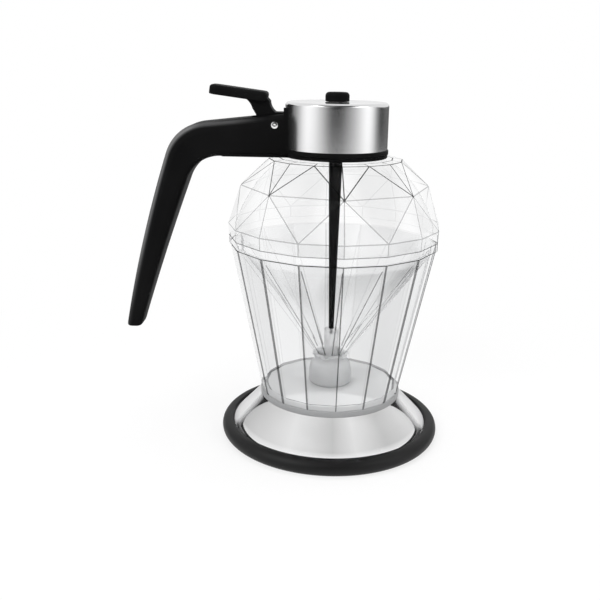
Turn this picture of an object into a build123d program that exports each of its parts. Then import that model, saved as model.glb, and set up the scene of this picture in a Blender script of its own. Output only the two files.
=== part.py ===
from build123d import *
import math
import os

os.makedirs("parts", exist_ok=True)

# Honey dispenser: a faceted jar with a bottom valve stands in a faceted drip cup.
# The origin is on the jar's axis at the table, +Z is up and the handle points to -X.
# All sizes are in millimetres.

# Facets of the cup and of the jar
facet_count = 16
facet_turn = 5.25            # turn of the facets about the jar's axis, degrees

# Stand: foot ring, flared skirt, joint band and cup
foot_diameter = 95.0
foot_height = 6.8
foot_bulge_height = 3.5      # height of the ring's widest line
foot_overhang = 5.1          # rubber outside the skirt's edge
foot_sole_margin = 2.7       # from the ring's widest line in to its flat sole
foot_sole_width = 5.4
foot_width = 8.9             # of the ring's section
foot_inner_lip = 3.2         # height of the lip inside the skirt
foot_chamfer = 0.8
foot_top_lean = 0.6          # the ring's top edge stands this far off the skirt
groove_floor = 2.0           # thickness of rubber under the skirt's edge
skirt_height = 18.4
skirt_hem = 3.6              # upright edge of the skirt, held in the ring's groove
skirt_wall = 1.9
skirt_hole_radius = 24.0
band_height = 2.6
band_radius = 30.4
band_hole_radius = 25.0
stand_height = 85.0
cup_foot_corner = 30.1       # corner radius of the cup at its foot
cup_rim_corner = 43.3        # corner radius of the cup at its rim
cup_wall = 1.8
cup_floor = 1.3

# Jar: flange and funnel below, brilliant-cut dome above
flange_height = 3.6
flange_corner = 43.9
spigot_corner = 41.0         # step below the flange that centres the jar in the cup
spigot_height = 3.0
spigot_draft = 0.7
funnel_tip_corner = 7.6
funnel_wall = 1.9
bore_rise = 1.9              # from the tip of the facets up to the start of the inner cone
girdle_corner = 44.15
girdle_height = 4.8
middle_corner = 39.0         # eight corners halfway up the dome
middle_height = 15.8
crown_corner = 27.4
crown_height = 11.0
shoulder_corner = 23.4
shoulder_rise = 0.4
dome_wall = 2.4
middle_wall = 1.9
neck_radius = 16.9
neck_wall = 2.4
neck_height = 5.2
neck_rounding = 0.5

# Outlet at the funnel's tip: tube, soft nozzle and its valve seat
tube_radius = 5.8
tube_bore = 4.2
tube_drop = 10.0             # length of the tube below the facets' tip
nozzle_clearance = 0.02
nozzle_gap = 0.4             # between the nozzle's foot and the cup's floor
nozzle_floor = 4.3
nozzle_top_radius = 7.3
nozzle_waist_radius = 6.9
nozzle_shoulder_radius = 8.8
nozzle_base_radius = 9.3
nozzle_collar = 9.1          # height of the nozzle's sleeve above its floor
nozzle_bevel = 1.0
nozzle_bevel_height = 1.2
nozzle_shoulder_rise = 1.6   # above the sleeve's floor
nozzle_waist_rise = 5.2
nozzle_hole = 1.9
nozzle_mouth = 2.6
nozzle_mouth_depth = 0.8
nozzle_lobes = 5
lobe_cut_radius = 2.6
lobe_cut_depth = 1.1
lobe_turn = 34.0             # degrees
seat_radius = 3.6

# Lid: gasket, threaded insert, collar and steel drum
gasket_thickness = 1.2
gasket_margin = 0.3
insert_clearance = 0.6       # room for the screw thread around the neck
insert_skirt_wall = 1.5
insert_deck = 2.0
seal_radius = 5.0
seal_depth = 2.0
boss_radius = 7.0
boss_drop = 1.4
collar_gap = 0.4
collar_height = 3.2
collar_radius = 21.2
collar_lip = 1.2
collar_lip_step = 0.3
collar_line = 0.15
cap_radius = 20.8
cap_height = 18.5
cap_wall = 0.6
cap_rounding = 0.9
fit_gap = 0.05               # between pieces of the lid that are pressed together

# Plunger: rod, stopper, washer, clip and knob
rod_radius = 2.75
rod_tip_radius = 1.05
rod_taper_start = 3.1        # below the shoulder
rod_tip_height = 47.1
rod_tenon_radius = 0.6
rod_tenon_length = 2.5
rod_neck_radius = 1.8
running_gap = 0.07
stopper_radius = 2.9
stopper_tip_radius = 1.4
stopper_bevel = 0.5
washer_radius = 6.5
washer_thickness = 1.2
washer_gap = 0.05
clip_thickness = 0.6
clip_radius = 4.1
clip_groove = 0.5
clip_opening = 60.0          # degrees
bushing_flange_radius = 6.2
bushing_flange = 0.85
bushing_wall = 0.8
bushing_rise = 0.3
knob_gap = 0.3
knob_height = 3.7
knob_radius = 4.85
knob_rounding = 0.9
knob_cover = 1.0

# Return spring
wire_radius = 0.4
spring_radius = 5.2
spring_turns = 3.25
spring_lead = 0.8            # straight length at each end of the wire
spring_end_gap = 0.1
spring_samples = 400

# Lever and its pin
pin_out = 24.6               # from the jar's axis to the pin
pin_rise = 4.7               # from the insert's deck up to the pin
pin_radius = 1.25
pin_fit = 0.02
pin_head_radius = 1.6
pin_head = 0.5
pin_proud = 0.15
pin_dimple_radius = 0.55
pin_dimple_depth = 0.3
lever_width = 9.2
lever_side_gap = 0.4
lever_press = 10.0           # full press, degrees
hub_radius = 4.7
fork_gap = 0.4               # between the rod and each prong
fork_reach = 4.0             # prongs past the jar's axis
fork_root = 0.9              # centre of the fork's round root, before the jar's axis
fork_floor_gap = 0.5
prong_height = 1.6
nose_radius = 4.0
nose_height = 2.5
arm_hub = 3.2                # from the pin inwards along the hub's flat top
arm_bend = 7.4
arm_bend_drop = 0.7          # below the pin
arm_end = 14.1
pad_width = 14.0
pad_thickness = 3.8
pad_corner = 4.0             # rounded corners of the pad, seen from above
pad_edge = 1.6
pad_tip_reach = 26.3         # from the pin out to the pad's tip
pad_tip_rise = 3.5           # the tip above the pad's inner end
pad_root_reach = 4.7
pad_root_rise = 12.8         # from the pin up to the pad's inner end
pad_nose = 1.2               # bevel at the pad's inner end
pad_nose_foot = 0.4
neck_run = 6.6               # along the pad's underside from its inner end to the neck

# Points of the neck's back and front edges, out from the pin and up from it
neck_back = ((10.1, 8.1), (9.2, 6.2), (7.8, 3.9), (6.8, 0.0), (4.1, -3.4))
neck_front = ((2.1, 5.8), (3.1, 8.3))

# Handle, its sizes taken out from the jar's axis and up from the table
handle_width = 16.4
grip_end_width = 11.0
handle_rounding = 2.4
handle_depth = 17.3          # at the drum
bend_out = 65.0
bend_drop = 5.4              # fall of the top line from the drum to the bend
bend_radius = 18.0
back_bow_out = 78.5
back_bow_height = 90.0
tip_outer_out = 88.7
tip_depth = 5.3              # seen from the side, as the next two are
bow_depth = 7.9
bend_depth = 8.3
tip_height = 47.0
tip_radius = 2.6
inner_bow_height = 84.0
inner_bend_radius = 14.5
root_step = 0.2              # the root block stands this far out of the drum
root_depth = 2.8
root_cover = 2.3             # of the drum's side above the root block
slot_floor_gap = 0.8
slot_past_pin = 10.0
rail_end_gap = 7.7           # from the inner bend's corner to the rail's end
rail_taper = 3.6
rail_depth = 1.2
cut_margin = 1.0             # how far a cutter runs past what it cuts

# Heights and reaches that follow from the sizes above
foot_radius = foot_diameter / 2
foot_sole_outer = foot_radius - foot_sole_margin
foot_sole_inner = foot_sole_outer - foot_sole_width
foot_inner_radius = foot_radius - foot_width
skirt_foot_radius = foot_radius - foot_overhang
band_top = skirt_height + band_height
cup_floor_top = band_top + cup_floor
girdle_foot = stand_height + flange_height
girdle_top = girdle_foot + girdle_height
middle_level = girdle_top + middle_height
crown_level = middle_level + crown_height
shoulder_level = crown_level + shoulder_rise
neck_top = shoulder_level + neck_height
deck_foot = neck_top + gasket_thickness
deck_top = deck_foot + insert_deck
collar_foot = shoulder_level + collar_gap
collar_top = collar_foot + collar_height
cap_top = collar_top + cap_height
nozzle_foot = cup_floor_top + nozzle_gap
tube_foot = nozzle_foot + nozzle_floor
funnel_tip = tube_foot + tube_drop
pin_level = deck_top + pin_rise
fork_foot = deck_top + fork_floor_gap
washer_foot = fork_foot + nose_height + washer_gap
washer_top = washer_foot + washer_thickness
bushing_foot = cap_top - cap_wall - bushing_flange
bushing_top = cap_top + bushing_rise
knob_foot = bushing_top + knob_gap
knob_top = knob_foot + knob_height
slot_width = lever_width + 2 * lever_side_gap
slot_end_out = pin_out + slot_past_pin
handle_top = collar_foot + handle_depth
bend_height = handle_top - bend_drop
root_out = cap_radius + root_step
root_inside = root_out - root_depth
root_top = cap_top - root_cover
tip_inner_out = tip_outer_out - tip_depth
inner_bow_out = back_bow_out - bow_depth
inner_bend_out = bend_out - bend_depth
rail_end_out = inner_bend_out - rail_end_gap
press = math.radians(lever_press)
nose_centre = fork_foot + nose_height - nose_radius
washer_lift = pin_out * math.sin(press) + (pin_level - nose_centre) * (1 - math.cos(press))

corner_to_flat = math.cos(math.pi / facet_count)


def inset(corner_radius, wall):
    """Corner radius of a facet ring that lies a wall's thickness inside another."""
    return corner_radius - wall / corner_to_flat


def between(height, low, low_radius, high, high_radius):
    """Radius at a height on the straight line between two levels."""
    return low_radius + (high_radius - low_radius) * (height - low) / (high - low)


def corner_ring(corner_radius, height, count):
    """Corner points of a level facet ring."""
    turns = [math.radians(facet_turn + 360 / count * k) for k in range(count)]
    return [(corner_radius * math.cos(t), corner_radius * math.sin(t), height) for t in turns]


# Foot ring: black rubber with a groove that takes the skirt's edge
groove_inner = skirt_foot_radius - skirt_wall
with BuildPart() as foot_ring:
    with BuildSketch(Plane.XZ):
        with BuildLine():
            Polyline(
                (foot_inner_radius, foot_inner_lip - foot_chamfer),
                (foot_inner_radius, foot_chamfer),
                (foot_sole_inner, 0),
                (foot_sole_outer, 0),
            )
            ThreePointArc(
                (foot_sole_outer, 0),
                (foot_radius, foot_bulge_height),
                (skirt_foot_radius + foot_top_lean, foot_height),
            )
            Polyline(
                (skirt_foot_radius + foot_top_lean, foot_height),
                (skirt_foot_radius, groove_floor + skirt_hem),
                (skirt_foot_radius, groove_floor),
                (groove_inner, groove_floor),
                (groove_inner, foot_inner_lip),
                (foot_inner_radius + foot_chamfer, foot_inner_lip),
                (foot_inner_radius, foot_inner_lip - foot_chamfer),
            )
        make_face()
    revolve(axis=Axis.Z)
foot_ring.part.label = "foot_ring"
export_step(foot_ring.part, "parts/foot_ring.step")

# Flared skirt: clear, open below, with a flat deck that carries the cup
hem_top = groove_floor + skirt_hem
flare_run = skirt_foot_radius - band_radius
flare_rise = skirt_height - hem_top
flare_length = math.hypot(flare_run, flare_rise)
deck_under = skirt_height - skirt_wall
wall_across = skirt_wall * flare_length / flare_rise
inner_hem_top = hem_top - skirt_wall * (flare_length - flare_rise) / flare_run
with BuildPart() as stand_skirt:
    with BuildSketch(Plane.XZ):
        with BuildLine():
            Polyline(
                (skirt_hole_radius, skirt_height),
                (band_radius, skirt_height),
                (skirt_foot_radius, hem_top),
                (skirt_foot_radius, groove_floor),
                (groove_inner, groove_floor),
                (groove_inner, inner_hem_top),
                (between(deck_under, hem_top, skirt_foot_radius, skirt_height, band_radius)
                 - wall_across, deck_under),
                (skirt_hole_radius, deck_under),
                (skirt_hole_radius, skirt_height),
            )
        make_face()
    revolve(axis=Axis.Z)
stand_skirt.part.label = "stand_skirt"
export_step(stand_skirt.part, "parts/stand_skirt.step")

# Joint band: grey ring between the skirt's deck and the cup's floor
with BuildPart() as stand_band:
    with BuildSketch(Plane.XY.offset(skirt_height)):
        Circle(band_radius)
        Circle(band_hole_radius, mode=Mode.SUBTRACT)
    extrude(amount=band_height)
stand_band.part.label = "stand_band"
export_step(stand_band.part, "parts/stand_band.step")

# Drip cup: clear, sixteen flat sides that widen to the rim
cup_inner_foot = between(cup_floor_top, band_top, cup_foot_corner, stand_height, cup_rim_corner)
with BuildPart() as stand_cup:
    with BuildSketch(Plane.XY.offset(band_top)):
        RegularPolygon(cup_foot_corner, facet_count, rotation=facet_turn)
    with BuildSketch(Plane.XY.offset(stand_height)):
        RegularPolygon(cup_rim_corner, facet_count, rotation=facet_turn)
    loft(ruled=True)
    with BuildSketch(Plane.XY.offset(cup_floor_top)):
        RegularPolygon(inset(cup_inner_foot, cup_wall), facet_count, rotation=facet_turn)
    with BuildSketch(Plane.XY.offset(stand_height)):
        RegularPolygon(inset(cup_rim_corner, cup_wall), facet_count, rotation=facet_turn)
    loft(ruled=True, mode=Mode.SUBTRACT)
stand_cup.part.label = "stand_cup"
export_step(stand_cup.part, "parts/stand_cup.step")

# Funnel: clear, rests on the cup's rim by its flange and narrows to the outlet tube
spigot_foot = stand_height - spigot_height
bore_top = funnel_tip + bore_rise
mouth_corner = inset(spigot_corner, funnel_wall)
with BuildPart() as jar_funnel:
    with BuildSketch(Plane.XY.offset(funnel_tip)):
        RegularPolygon(funnel_tip_corner, facet_count, rotation=facet_turn)
    with BuildSketch(Plane.XY.offset(spigot_foot)):
        RegularPolygon(spigot_corner - spigot_draft, facet_count, rotation=facet_turn)
    with BuildSketch(Plane.XY.offset(stand_height)):
        RegularPolygon(spigot_corner, facet_count, rotation=facet_turn)
    loft(ruled=True)
    with BuildSketch(Plane.XY.offset(stand_height)):
        RegularPolygon(flange_corner, facet_count, rotation=facet_turn)
    extrude(amount=flange_height)
    with BuildSketch(Plane.XY.offset(tube_foot)):
        Circle(tube_radius)
    extrude(amount=tube_drop)
    with BuildSketch(Plane.XY.offset(bore_top)):
        RegularPolygon(tube_bore / corner_to_flat, facet_count, rotation=facet_turn)
    with BuildSketch(Plane.XY.offset(spigot_foot)):
        RegularPolygon(inset(spigot_corner - spigot_draft, funnel_wall), facet_count,
                       rotation=facet_turn)
    with BuildSketch(Plane.XY.offset(girdle_foot)):
        RegularPolygon(mouth_corner, facet_count, rotation=facet_turn)
    loft(ruled=True, mode=Mode.SUBTRACT)
    with BuildSketch(Plane.XY.offset(tube_foot)):
        Circle(tube_bore)
    extrude(amount=bore_top - tube_foot, mode=Mode.SUBTRACT)
jar_funnel.part.label = "jar_funnel"
export_step(jar_funnel.part, "parts/jar_funnel.step")

# Dome: clear, cut like a brilliant outside and smooth inside, with the neck on top
dome_corners = (
    corner_ring(flange_corner, girdle_foot, facet_count)
    + corner_ring(girdle_corner, girdle_top, facet_count)
    + corner_ring(middle_corner, middle_level, facet_count // 2)
    + corner_ring(crown_corner, crown_level, facet_count)
    + corner_ring(shoulder_corner, shoulder_level, facet_count)
)
girdle_flat = girdle_corner * corner_to_flat
middle_flat = middle_corner * math.cos(2 * math.pi / facet_count)
crown_flat = crown_corner * corner_to_flat
neck_bore = neck_radius - neck_wall
with BuildPart() as jar_dome:
    ConvexPolyhedron(dome_corners)
    with BuildSketch(Plane.XY.offset(shoulder_level)):
        Circle(neck_radius)
    extrude(amount=neck_height)
    with BuildSketch(Plane.XZ):
        with BuildLine():
            Polyline(
                (neck_bore, crown_level - dome_wall),
                (neck_bore, neck_top),
                (0, neck_top),
                (0, girdle_foot),
                (girdle_flat - dome_wall, girdle_foot),
                (girdle_flat - dome_wall, girdle_top),
            )
            ThreePointArc(
                (girdle_flat - dome_wall, girdle_top),
                (middle_flat - middle_wall, middle_level - middle_wall),
                (crown_flat - dome_wall, crown_level - dome_wall),
            )
            Line((crown_flat - dome_wall, crown_level - dome_wall),
                 (neck_bore, crown_level - dome_wall))
        make_face()
    revolve(axis=Axis.Z, mode=Mode.SUBTRACT)
    fillet(jar_dome.edges().filter_by(GeomType.CIRCLE).group_by(Axis.Z)[-1], neck_rounding)
jar_dome.part.label = "jar_dome"
export_step(jar_dome.part, "parts/jar_dome.step")

# Nozzle: soft grey boot on the outlet tube, with a lobed top edge and the valve seat
sleeve_bore = tube_radius + nozzle_clearance
nozzle_top = tube_foot + nozzle_collar
seat_foot = tube_foot - (seat_radius - nozzle_hole)
with BuildPart() as outlet_nozzle:
    with BuildSketch(Plane.XZ):
        with BuildLine():
            Polyline(
                (sleeve_bore, nozzle_top),
                (sleeve_bore, tube_foot),
                (seat_radius, tube_foot),
                (nozzle_hole, seat_foot),
                (nozzle_hole, nozzle_foot + nozzle_mouth_depth),
                (nozzle_mouth, nozzle_foot),
                (nozzle_base_radius - nozzle_bevel, nozzle_foot),
                (nozzle_base_radius, nozzle_foot + nozzle_bevel_height),
                (nozzle_shoulder_radius, tube_foot + nozzle_shoulder_rise),
            )
            Spline(
                (nozzle_shoulder_radius, tube_foot + nozzle_shoulder_rise),
                (nozzle_waist_radius, tube_foot + nozzle_waist_rise),
                (nozzle_top_radius, nozzle_top),
            )
            Line((nozzle_top_radius, nozzle_top), (sleeve_bore, nozzle_top))
        make_face()
    revolve(axis=Axis.Z)
    with PolarLocations(nozzle_top_radius, nozzle_lobes, start_angle=lobe_turn):
        with Locations((0, 0, nozzle_top + lobe_cut_radius - lobe_cut_depth)):
            Cylinder(lobe_cut_radius, nozzle_top_radius, rotation=(0, 90, 0), mode=Mode.SUBTRACT)
outlet_nozzle.part.label = "outlet_nozzle"
export_step(outlet_nozzle.part, "parts/outlet_nozzle.step")

# Gasket: flat ring between the neck's edge and the lid's deck
insert_bore = neck_radius + insert_clearance
with BuildPart() as neck_gasket:
    with BuildSketch(Plane.XY.offset(neck_top)):
        Circle(insert_bore - gasket_margin)
        Circle(neck_bore, mode=Mode.SUBTRACT)
    extrude(amount=gasket_thickness)
neck_gasket.part.label = "neck_gasket"
export_step(neck_gasket.part, "parts/neck_gasket.step")

# Insert: moulded inner cap that screws on the neck and guides the rod
insert_radius = cap_radius - cap_wall - fit_gap
insert_skirt_radius = insert_bore + insert_skirt_wall
guide_bore = rod_radius + running_gap
boss_foot = deck_foot - boss_drop
with BuildPart() as lid_insert:
    with BuildSketch(Plane.XZ):
        with BuildLine():
            Polyline(
                (guide_bore, deck_top),
                (insert_radius, deck_top),
                (insert_radius, collar_top),
                (insert_skirt_radius, collar_top),
                (insert_skirt_radius, collar_foot),
                (insert_bore, collar_foot),
                (insert_bore, deck_foot),
                (boss_radius, deck_foot),
                (boss_radius, boss_foot),
                (seal_radius, boss_foot),
                (seal_radius, boss_foot + seal_depth),
                (guide_bore, boss_foot + seal_depth),
                (guide_bore, deck_top),
            )
        make_face()
    revolve(axis=Axis.Z)
lid_insert.part.label = "lid_insert"
export_step(lid_insert.part, "parts/lid_insert.step")

# Rod seal: soft ring in the insert's boss that wipes the rod
with BuildPart() as rod_seal:
    with BuildSketch(Plane.XY.offset(boss_foot)):
        Circle(seal_radius - fit_gap)
        Circle(guide_bore, mode=Mode.SUBTRACT)
    extrude(amount=seal_depth)
rod_seal.part.label = "rod_seal"
export_step(rod_seal.part, "parts/rod_seal.step")

# Steel drum: thin cover pressed over the insert, slotted where the handle enters
slot_half = handle_width / 2 + fit_gap
bushing_radius = guide_bore + bushing_wall
with BuildPart() as steel_cap:
    with BuildSketch(Plane.XZ):
        with BuildLine():
            Polyline(
                (bushing_radius + fit_gap, cap_top),
                (cap_radius, cap_top),
                (cap_radius, collar_top),
                (cap_radius - cap_wall, collar_top),
                (cap_radius - cap_wall, cap_top - cap_wall),
                (bushing_radius + fit_gap, cap_top - cap_wall),
                (bushing_radius + fit_gap, cap_top),
            )
        make_face()
    revolve(axis=Axis.Z)
    rim = steel_cap.edges().filter_by(GeomType.CIRCLE).group_by(Axis.Z)[-1]
    fillet(rim.sort_by(SortBy.RADIUS)[-1], cap_rounding)
    with BuildSketch(Plane.XY.offset(collar_top)):
        with Locations((-cap_radius, 0)):
            Rectangle(cap_radius, 2 * slot_half)
    extrude(amount=root_top + 2 * fit_gap - collar_top, mode=Mode.SUBTRACT)
steel_cap.part.label = "steel_cap"
export_step(steel_cap.part, "parts/steel_cap.step")

# Bushing: flanged sleeve in the drum's top that guides the rod and holds the spring
with BuildPart() as rod_bushing:
    with BuildSketch(Plane.XZ):
        with BuildLine():
            Polyline(
                (guide_bore, bushing_foot),
                (bushing_flange_radius, bushing_foot),
                (bushing_flange_radius, bushing_foot + bushing_flange),
                (bushing_radius, bushing_foot + bushing_flange),
                (bushing_radius, bushing_top),
                (guide_bore, bushing_top),
                (guide_bore, bushing_foot),
            )
        make_face()
    revolve(axis=Axis.Z)
rod_bushing.part.label = "rod_bushing"
export_step(rod_bushing.part, "parts/rod_bushing.step")

# Rod: black, straight through its guides, then a long taper down to the stopper
taper_level = shoulder_level - rod_taper_start
rod_end = knob_top - knob_cover
with BuildPart() as plunger_rod:
    with BuildSketch(Plane.XZ):
        with BuildLine():
            Polyline(
                (0, rod_end),
                (rod_neck_radius, rod_end),
                (rod_neck_radius, knob_foot),
                (rod_radius, knob_foot),
                (rod_radius, washer_top + clip_thickness),
                (rod_radius - clip_groove, washer_top + clip_thickness),
                (rod_radius - clip_groove, washer_top),
                (rod_radius, washer_top),
                (rod_radius, taper_level),
                (rod_tip_radius, rod_tip_height),
                (rod_tenon_radius, rod_tip_height),
                (rod_tenon_radius, rod_tip_height - rod_tenon_length),
                (0, rod_tip_height - rod_tenon_length),
                (0, rod_end),
            )
        make_face()
    revolve(axis=Axis.Z)
plunger_rod.part.label = "plunger_rod"
export_step(plunger_rod.part, "parts/plunger_rod.step")

# Stopper: soft clear plug on the rod's tip that closes the nozzle's seat
cone_end = seat_foot + (stopper_radius - nozzle_hole) + running_gap
tip_end = cone_end - (stopper_radius - stopper_tip_radius)
with BuildPart() as valve_stopper:
    with BuildSketch(Plane.XZ):
        with BuildLine():
            Polyline(
                (rod_tenon_radius, rod_tip_height),
                (stopper_radius - stopper_bevel, rod_tip_height),
                (stopper_radius, rod_tip_height - stopper_bevel),
                (stopper_radius, cone_end),
                (stopper_tip_radius, tip_end),
                (0, tip_end),
                (0, rod_tip_height - rod_tenon_length),
                (rod_tenon_radius, rod_tip_height - rod_tenon_length),
                (rod_tenon_radius, rod_tip_height),
            )
        make_face()
    revolve(axis=Axis.Z)
valve_stopper.part.label = "valve_stopper"
export_step(valve_stopper.part, "parts/valve_stopper.step")

# Washer: steel disc that the lever's fork lifts
with BuildPart() as lift_washer:
    with BuildSketch(Plane.XY.offset(washer_foot)):
        Circle(washer_radius)
        Circle(rod_radius, mode=Mode.SUBTRACT)
    extrude(amount=washer_thickness)
lift_washer.part.label = "lift_washer"
export_step(lift_washer.part, "parts/lift_washer.step")

# Clip: open spring ring in the rod's groove, on top of the washer
with BuildPart() as rod_clip:
    with BuildSketch(Plane.XY.offset(washer_top)):
        Circle(clip_radius)
        Circle(rod_radius - clip_groove, mode=Mode.SUBTRACT)
        with BuildLine():
            half_gap = math.radians(clip_opening / 2)
            reach = 2 * clip_radius
            Polyline(
                (0, 0),
                (reach * math.cos(half_gap), reach * math.sin(half_gap)),
                (reach * math.cos(half_gap), -reach * math.sin(half_gap)),
                (0, 0),
            )
        make_face(mode=Mode.SUBTRACT)
    extrude(amount=clip_thickness)
rod_clip.part.label = "rod_clip"
export_step(rod_clip.part, "parts/rod_clip.step")

# Knob: black button on the rod's top, over the drum
with BuildPart() as knob:
    with BuildSketch(Plane.XY.offset(knob_foot)):
        Circle(knob_radius)
    extrude(amount=knob_height)
    fillet(knob.edges().group_by(Axis.Z)[-1], knob_rounding)
    with BuildSketch(Plane.XY.offset(knob_foot)):
        Circle(rod_neck_radius)
    extrude(amount=rod_end - knob_foot, mode=Mode.SUBTRACT)
knob.part.label = "knob"
export_step(knob.part, "parts/knob.step")


# Return spring: one wound wire between the washer and the bushing
def coil_arcs(radius, foot, rise, turns):
    """Pairs of arcs, a quarter turn each, from point to point of a helix that climbs evenly.

    Each pair meets halfway between the two points where the tangents from its ends are cut
    to one length, so the arcs run on smoothly. Returns start, end and start tangent.
    """
    steps = round(4 * turns)
    climb = rise / (turns * 2 * math.pi * radius)
    points, tangents = [], []
    for k in range(steps + 1):
        turn = k * math.pi / 2
        points.append(Vector(radius * math.cos(turn), radius * math.sin(turn),
                             foot + rise * k / steps))
        tangents.append(Vector(-math.sin(turn), math.cos(turn), climb).normalized())
    arcs = []
    for k in range(steps):
        start, end = points[k], points[k + 1]
        leave, arrive = tangents[k], tangents[k + 1]
        chord = end - start
        both = leave + arrive
        square = both.dot(both) - 4
        cross = chord.dot(both)
        length = (cross - math.sqrt(cross ** 2 - square * chord.dot(chord))) / square
        first = start + leave * length
        second = end - arrive * length
        meet = (first + second) * 0.5
        arcs.append((start, meet, leave))
        arcs.append((meet, end, (second - first).normalized()))
    return arcs, tangents


spring_foot = washer_top + wire_radius + spring_end_gap
spring_rise = bushing_foot - washer_top - 2 * (wire_radius + spring_end_gap)
arcs, tangents = coil_arcs(spring_radius, spring_foot, spring_rise, spring_turns)
lead_in = arcs[0][0] - tangents[0] * spring_lead
lead_out = arcs[-1][1] + tangents[-1] * spring_lead
with BuildPart() as return_spring:
    with BuildLine() as coil:
        Line(lead_in, arcs[0][0])
        for start, end, tangent in arcs:
            TangentArc(start, end, tangent=tangent)
        Line(arcs[-1][1], lead_out)
    with BuildSketch(Plane(origin=lead_in, z_dir=tangents[0])):
        Circle(wire_radius)
    sweep(path=coil.wires()[0])
return_spring.part.label = "return_spring"
export_step(return_spring.part, "parts/return_spring.step")

wire = coil.wires()[0]
samples = [wire.position_at(k / spring_samples) for k in range(spring_samples + 1)]
half_turn = round(math.pi * spring_radius / wire.length * spring_samples)
least_gap = min(
    (samples[i] - samples[j]).length - 2 * wire_radius
    for i in range(spring_samples + 1)
    for j in range(i + half_turn, spring_samples + 1)
)
print("least gap between the spring's turns", round(least_gap, 2), "mm")

# Thumb pad: rounded plate of the lever, rising towards its tip
pad_root = Vector(-pin_out - pad_root_reach, pin_level + pad_root_rise)
tip_centre = Vector(-pin_out - pad_tip_reach + pad_edge, pad_root.Y + pad_tip_rise - pad_edge)
pad_run = (pad_root - tip_centre).length
pad_slope = math.asin((tip_centre.Y - pad_root.Y) / pad_run) + math.asin(pad_edge / pad_run)
along = Vector(-math.cos(pad_slope), math.sin(pad_slope))
upward = Vector(math.sin(pad_slope), math.cos(pad_slope))
pad_under = pad_root - upward * pad_thickness
pad_front = pad_root - along * pad_nose - upward * pad_nose
with BuildPart() as thumb_pad:
    with BuildSketch(Plane.XZ):
        with BuildLine():
            Line(pad_root, tip_centre + upward * pad_edge)
            ThreePointArc(
                tip_centre + upward * pad_edge,
                tip_centre + (upward + along).normalized() * pad_edge,
                tip_centre + along * pad_edge,
            )
            Polyline(
                tip_centre + along * pad_edge,
                tip_centre + along * pad_edge - upward * (pad_thickness - pad_edge),
                pad_under,
                pad_under - along * pad_nose + upward * pad_nose_foot,
                pad_front,
                pad_root,
            )
        make_face()
    extrude(amount=pad_width / 2, both=True)
    with BuildSketch(Plane.XY.offset(pad_root.Y - 2 * pad_thickness)):
        with Locations((-pin_out - (pad_tip_reach + pad_root_reach) / 2, 0)):
            RectangleRounded(pad_tip_reach - pad_root_reach + 2 * pad_nose, pad_width, pad_corner)
    extrude(amount=4 * pad_thickness, mode=Mode.INTERSECT)

# Lever: pad, neck and hub, with a fork inside the drum that lifts the washer
hub_top = pin_level + hub_radius
hub_foot = pin_level - hub_radius
prong_top = fork_foot + prong_height
nose_top = fork_foot + nose_height
nose_half = math.sqrt(nose_radius ** 2 - (nose_radius - nose_height + prong_height) ** 2)
back = [(-pin_out - out, pin_level + up) for out, up in neck_back]
front = [(-pin_out - out, pin_level + up) for out, up in neck_front]
neck_start = pad_under + along * neck_run
with BuildPart() as lever:
    with BuildSketch(Plane.XZ):
        with BuildLine():
            Line(pad_front, neck_start)
            ThreePointArc(neck_start, back[0], back[1])
            Polyline(back[1], back[2], back[3])
            ThreePointArc(back[3], back[4], (-pin_out, hub_foot))
            Polyline(
                (-pin_out, hub_foot),
                (-root_inside, fork_foot),
                (fork_reach, fork_foot),
                (fork_reach, prong_top),
                (nose_half, prong_top),
            )
            ThreePointArc((nose_half, prong_top), (0, nose_top), (-nose_half, prong_top))
            Polyline(
                (-nose_half, prong_top),
                (arm_end - pin_out, prong_top),
                (arm_bend - pin_out, pin_level - arm_bend_drop),
                (arm_hub - pin_out, hub_top),
                (-pin_out, hub_top),
            )
            ThreePointArc((-pin_out, hub_top), front[0], front[1])
            Line(front[1], pad_front)
        make_face()
    extrude(amount=lever_width / 2, both=True)
    with BuildSketch(Plane.XY.offset(fork_foot)):
        with Locations((fork_reach, 0)):
            SlotCenterToCenter(2 * (fork_reach + fork_root), 2 * (rod_radius + fork_gap))
    extrude(amount=nose_height, mode=Mode.SUBTRACT)
    with BuildSketch(Plane.XZ):
        with Locations((-pin_out, pin_level)):
            Circle(pin_radius + running_gap)
    extrude(amount=lever_width, both=True, mode=Mode.SUBTRACT)
    add(thumb_pad.part)
lever.part.label = "lever"
export_step(lever.part, "parts/lever.step")
print("the fork lifts the rod", round(washer_lift, 2), "mm at full press")

# Lever pin: steel rivet through the handle's two cheeks, with a dimpled head on each side
head_seat = handle_width / 2 - pin_head + pin_proud
with BuildPart() as lever_pin:
    with BuildSketch(Plane.XZ):
        with Locations((-pin_out, pin_level)):
            Circle(pin_radius)
    extrude(amount=head_seat, both=True)
    for side in (1, -1):
        with BuildSketch(Plane.XZ.offset(side * head_seat)):
            with Locations((-pin_out, pin_level)):
                Circle(pin_head_radius)
        extrude(amount=side * pin_head)
        with BuildSketch(Plane.XZ.offset(side * (head_seat + pin_head))):
            with Locations((-pin_out, pin_level)):
                Circle(pin_dimple_radius)
        extrude(amount=-side * pin_dimple_depth, mode=Mode.SUBTRACT)
lever_pin.part.label = "lever_pin"
export_step(lever_pin.part, "parts/lever_pin.step")

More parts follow.
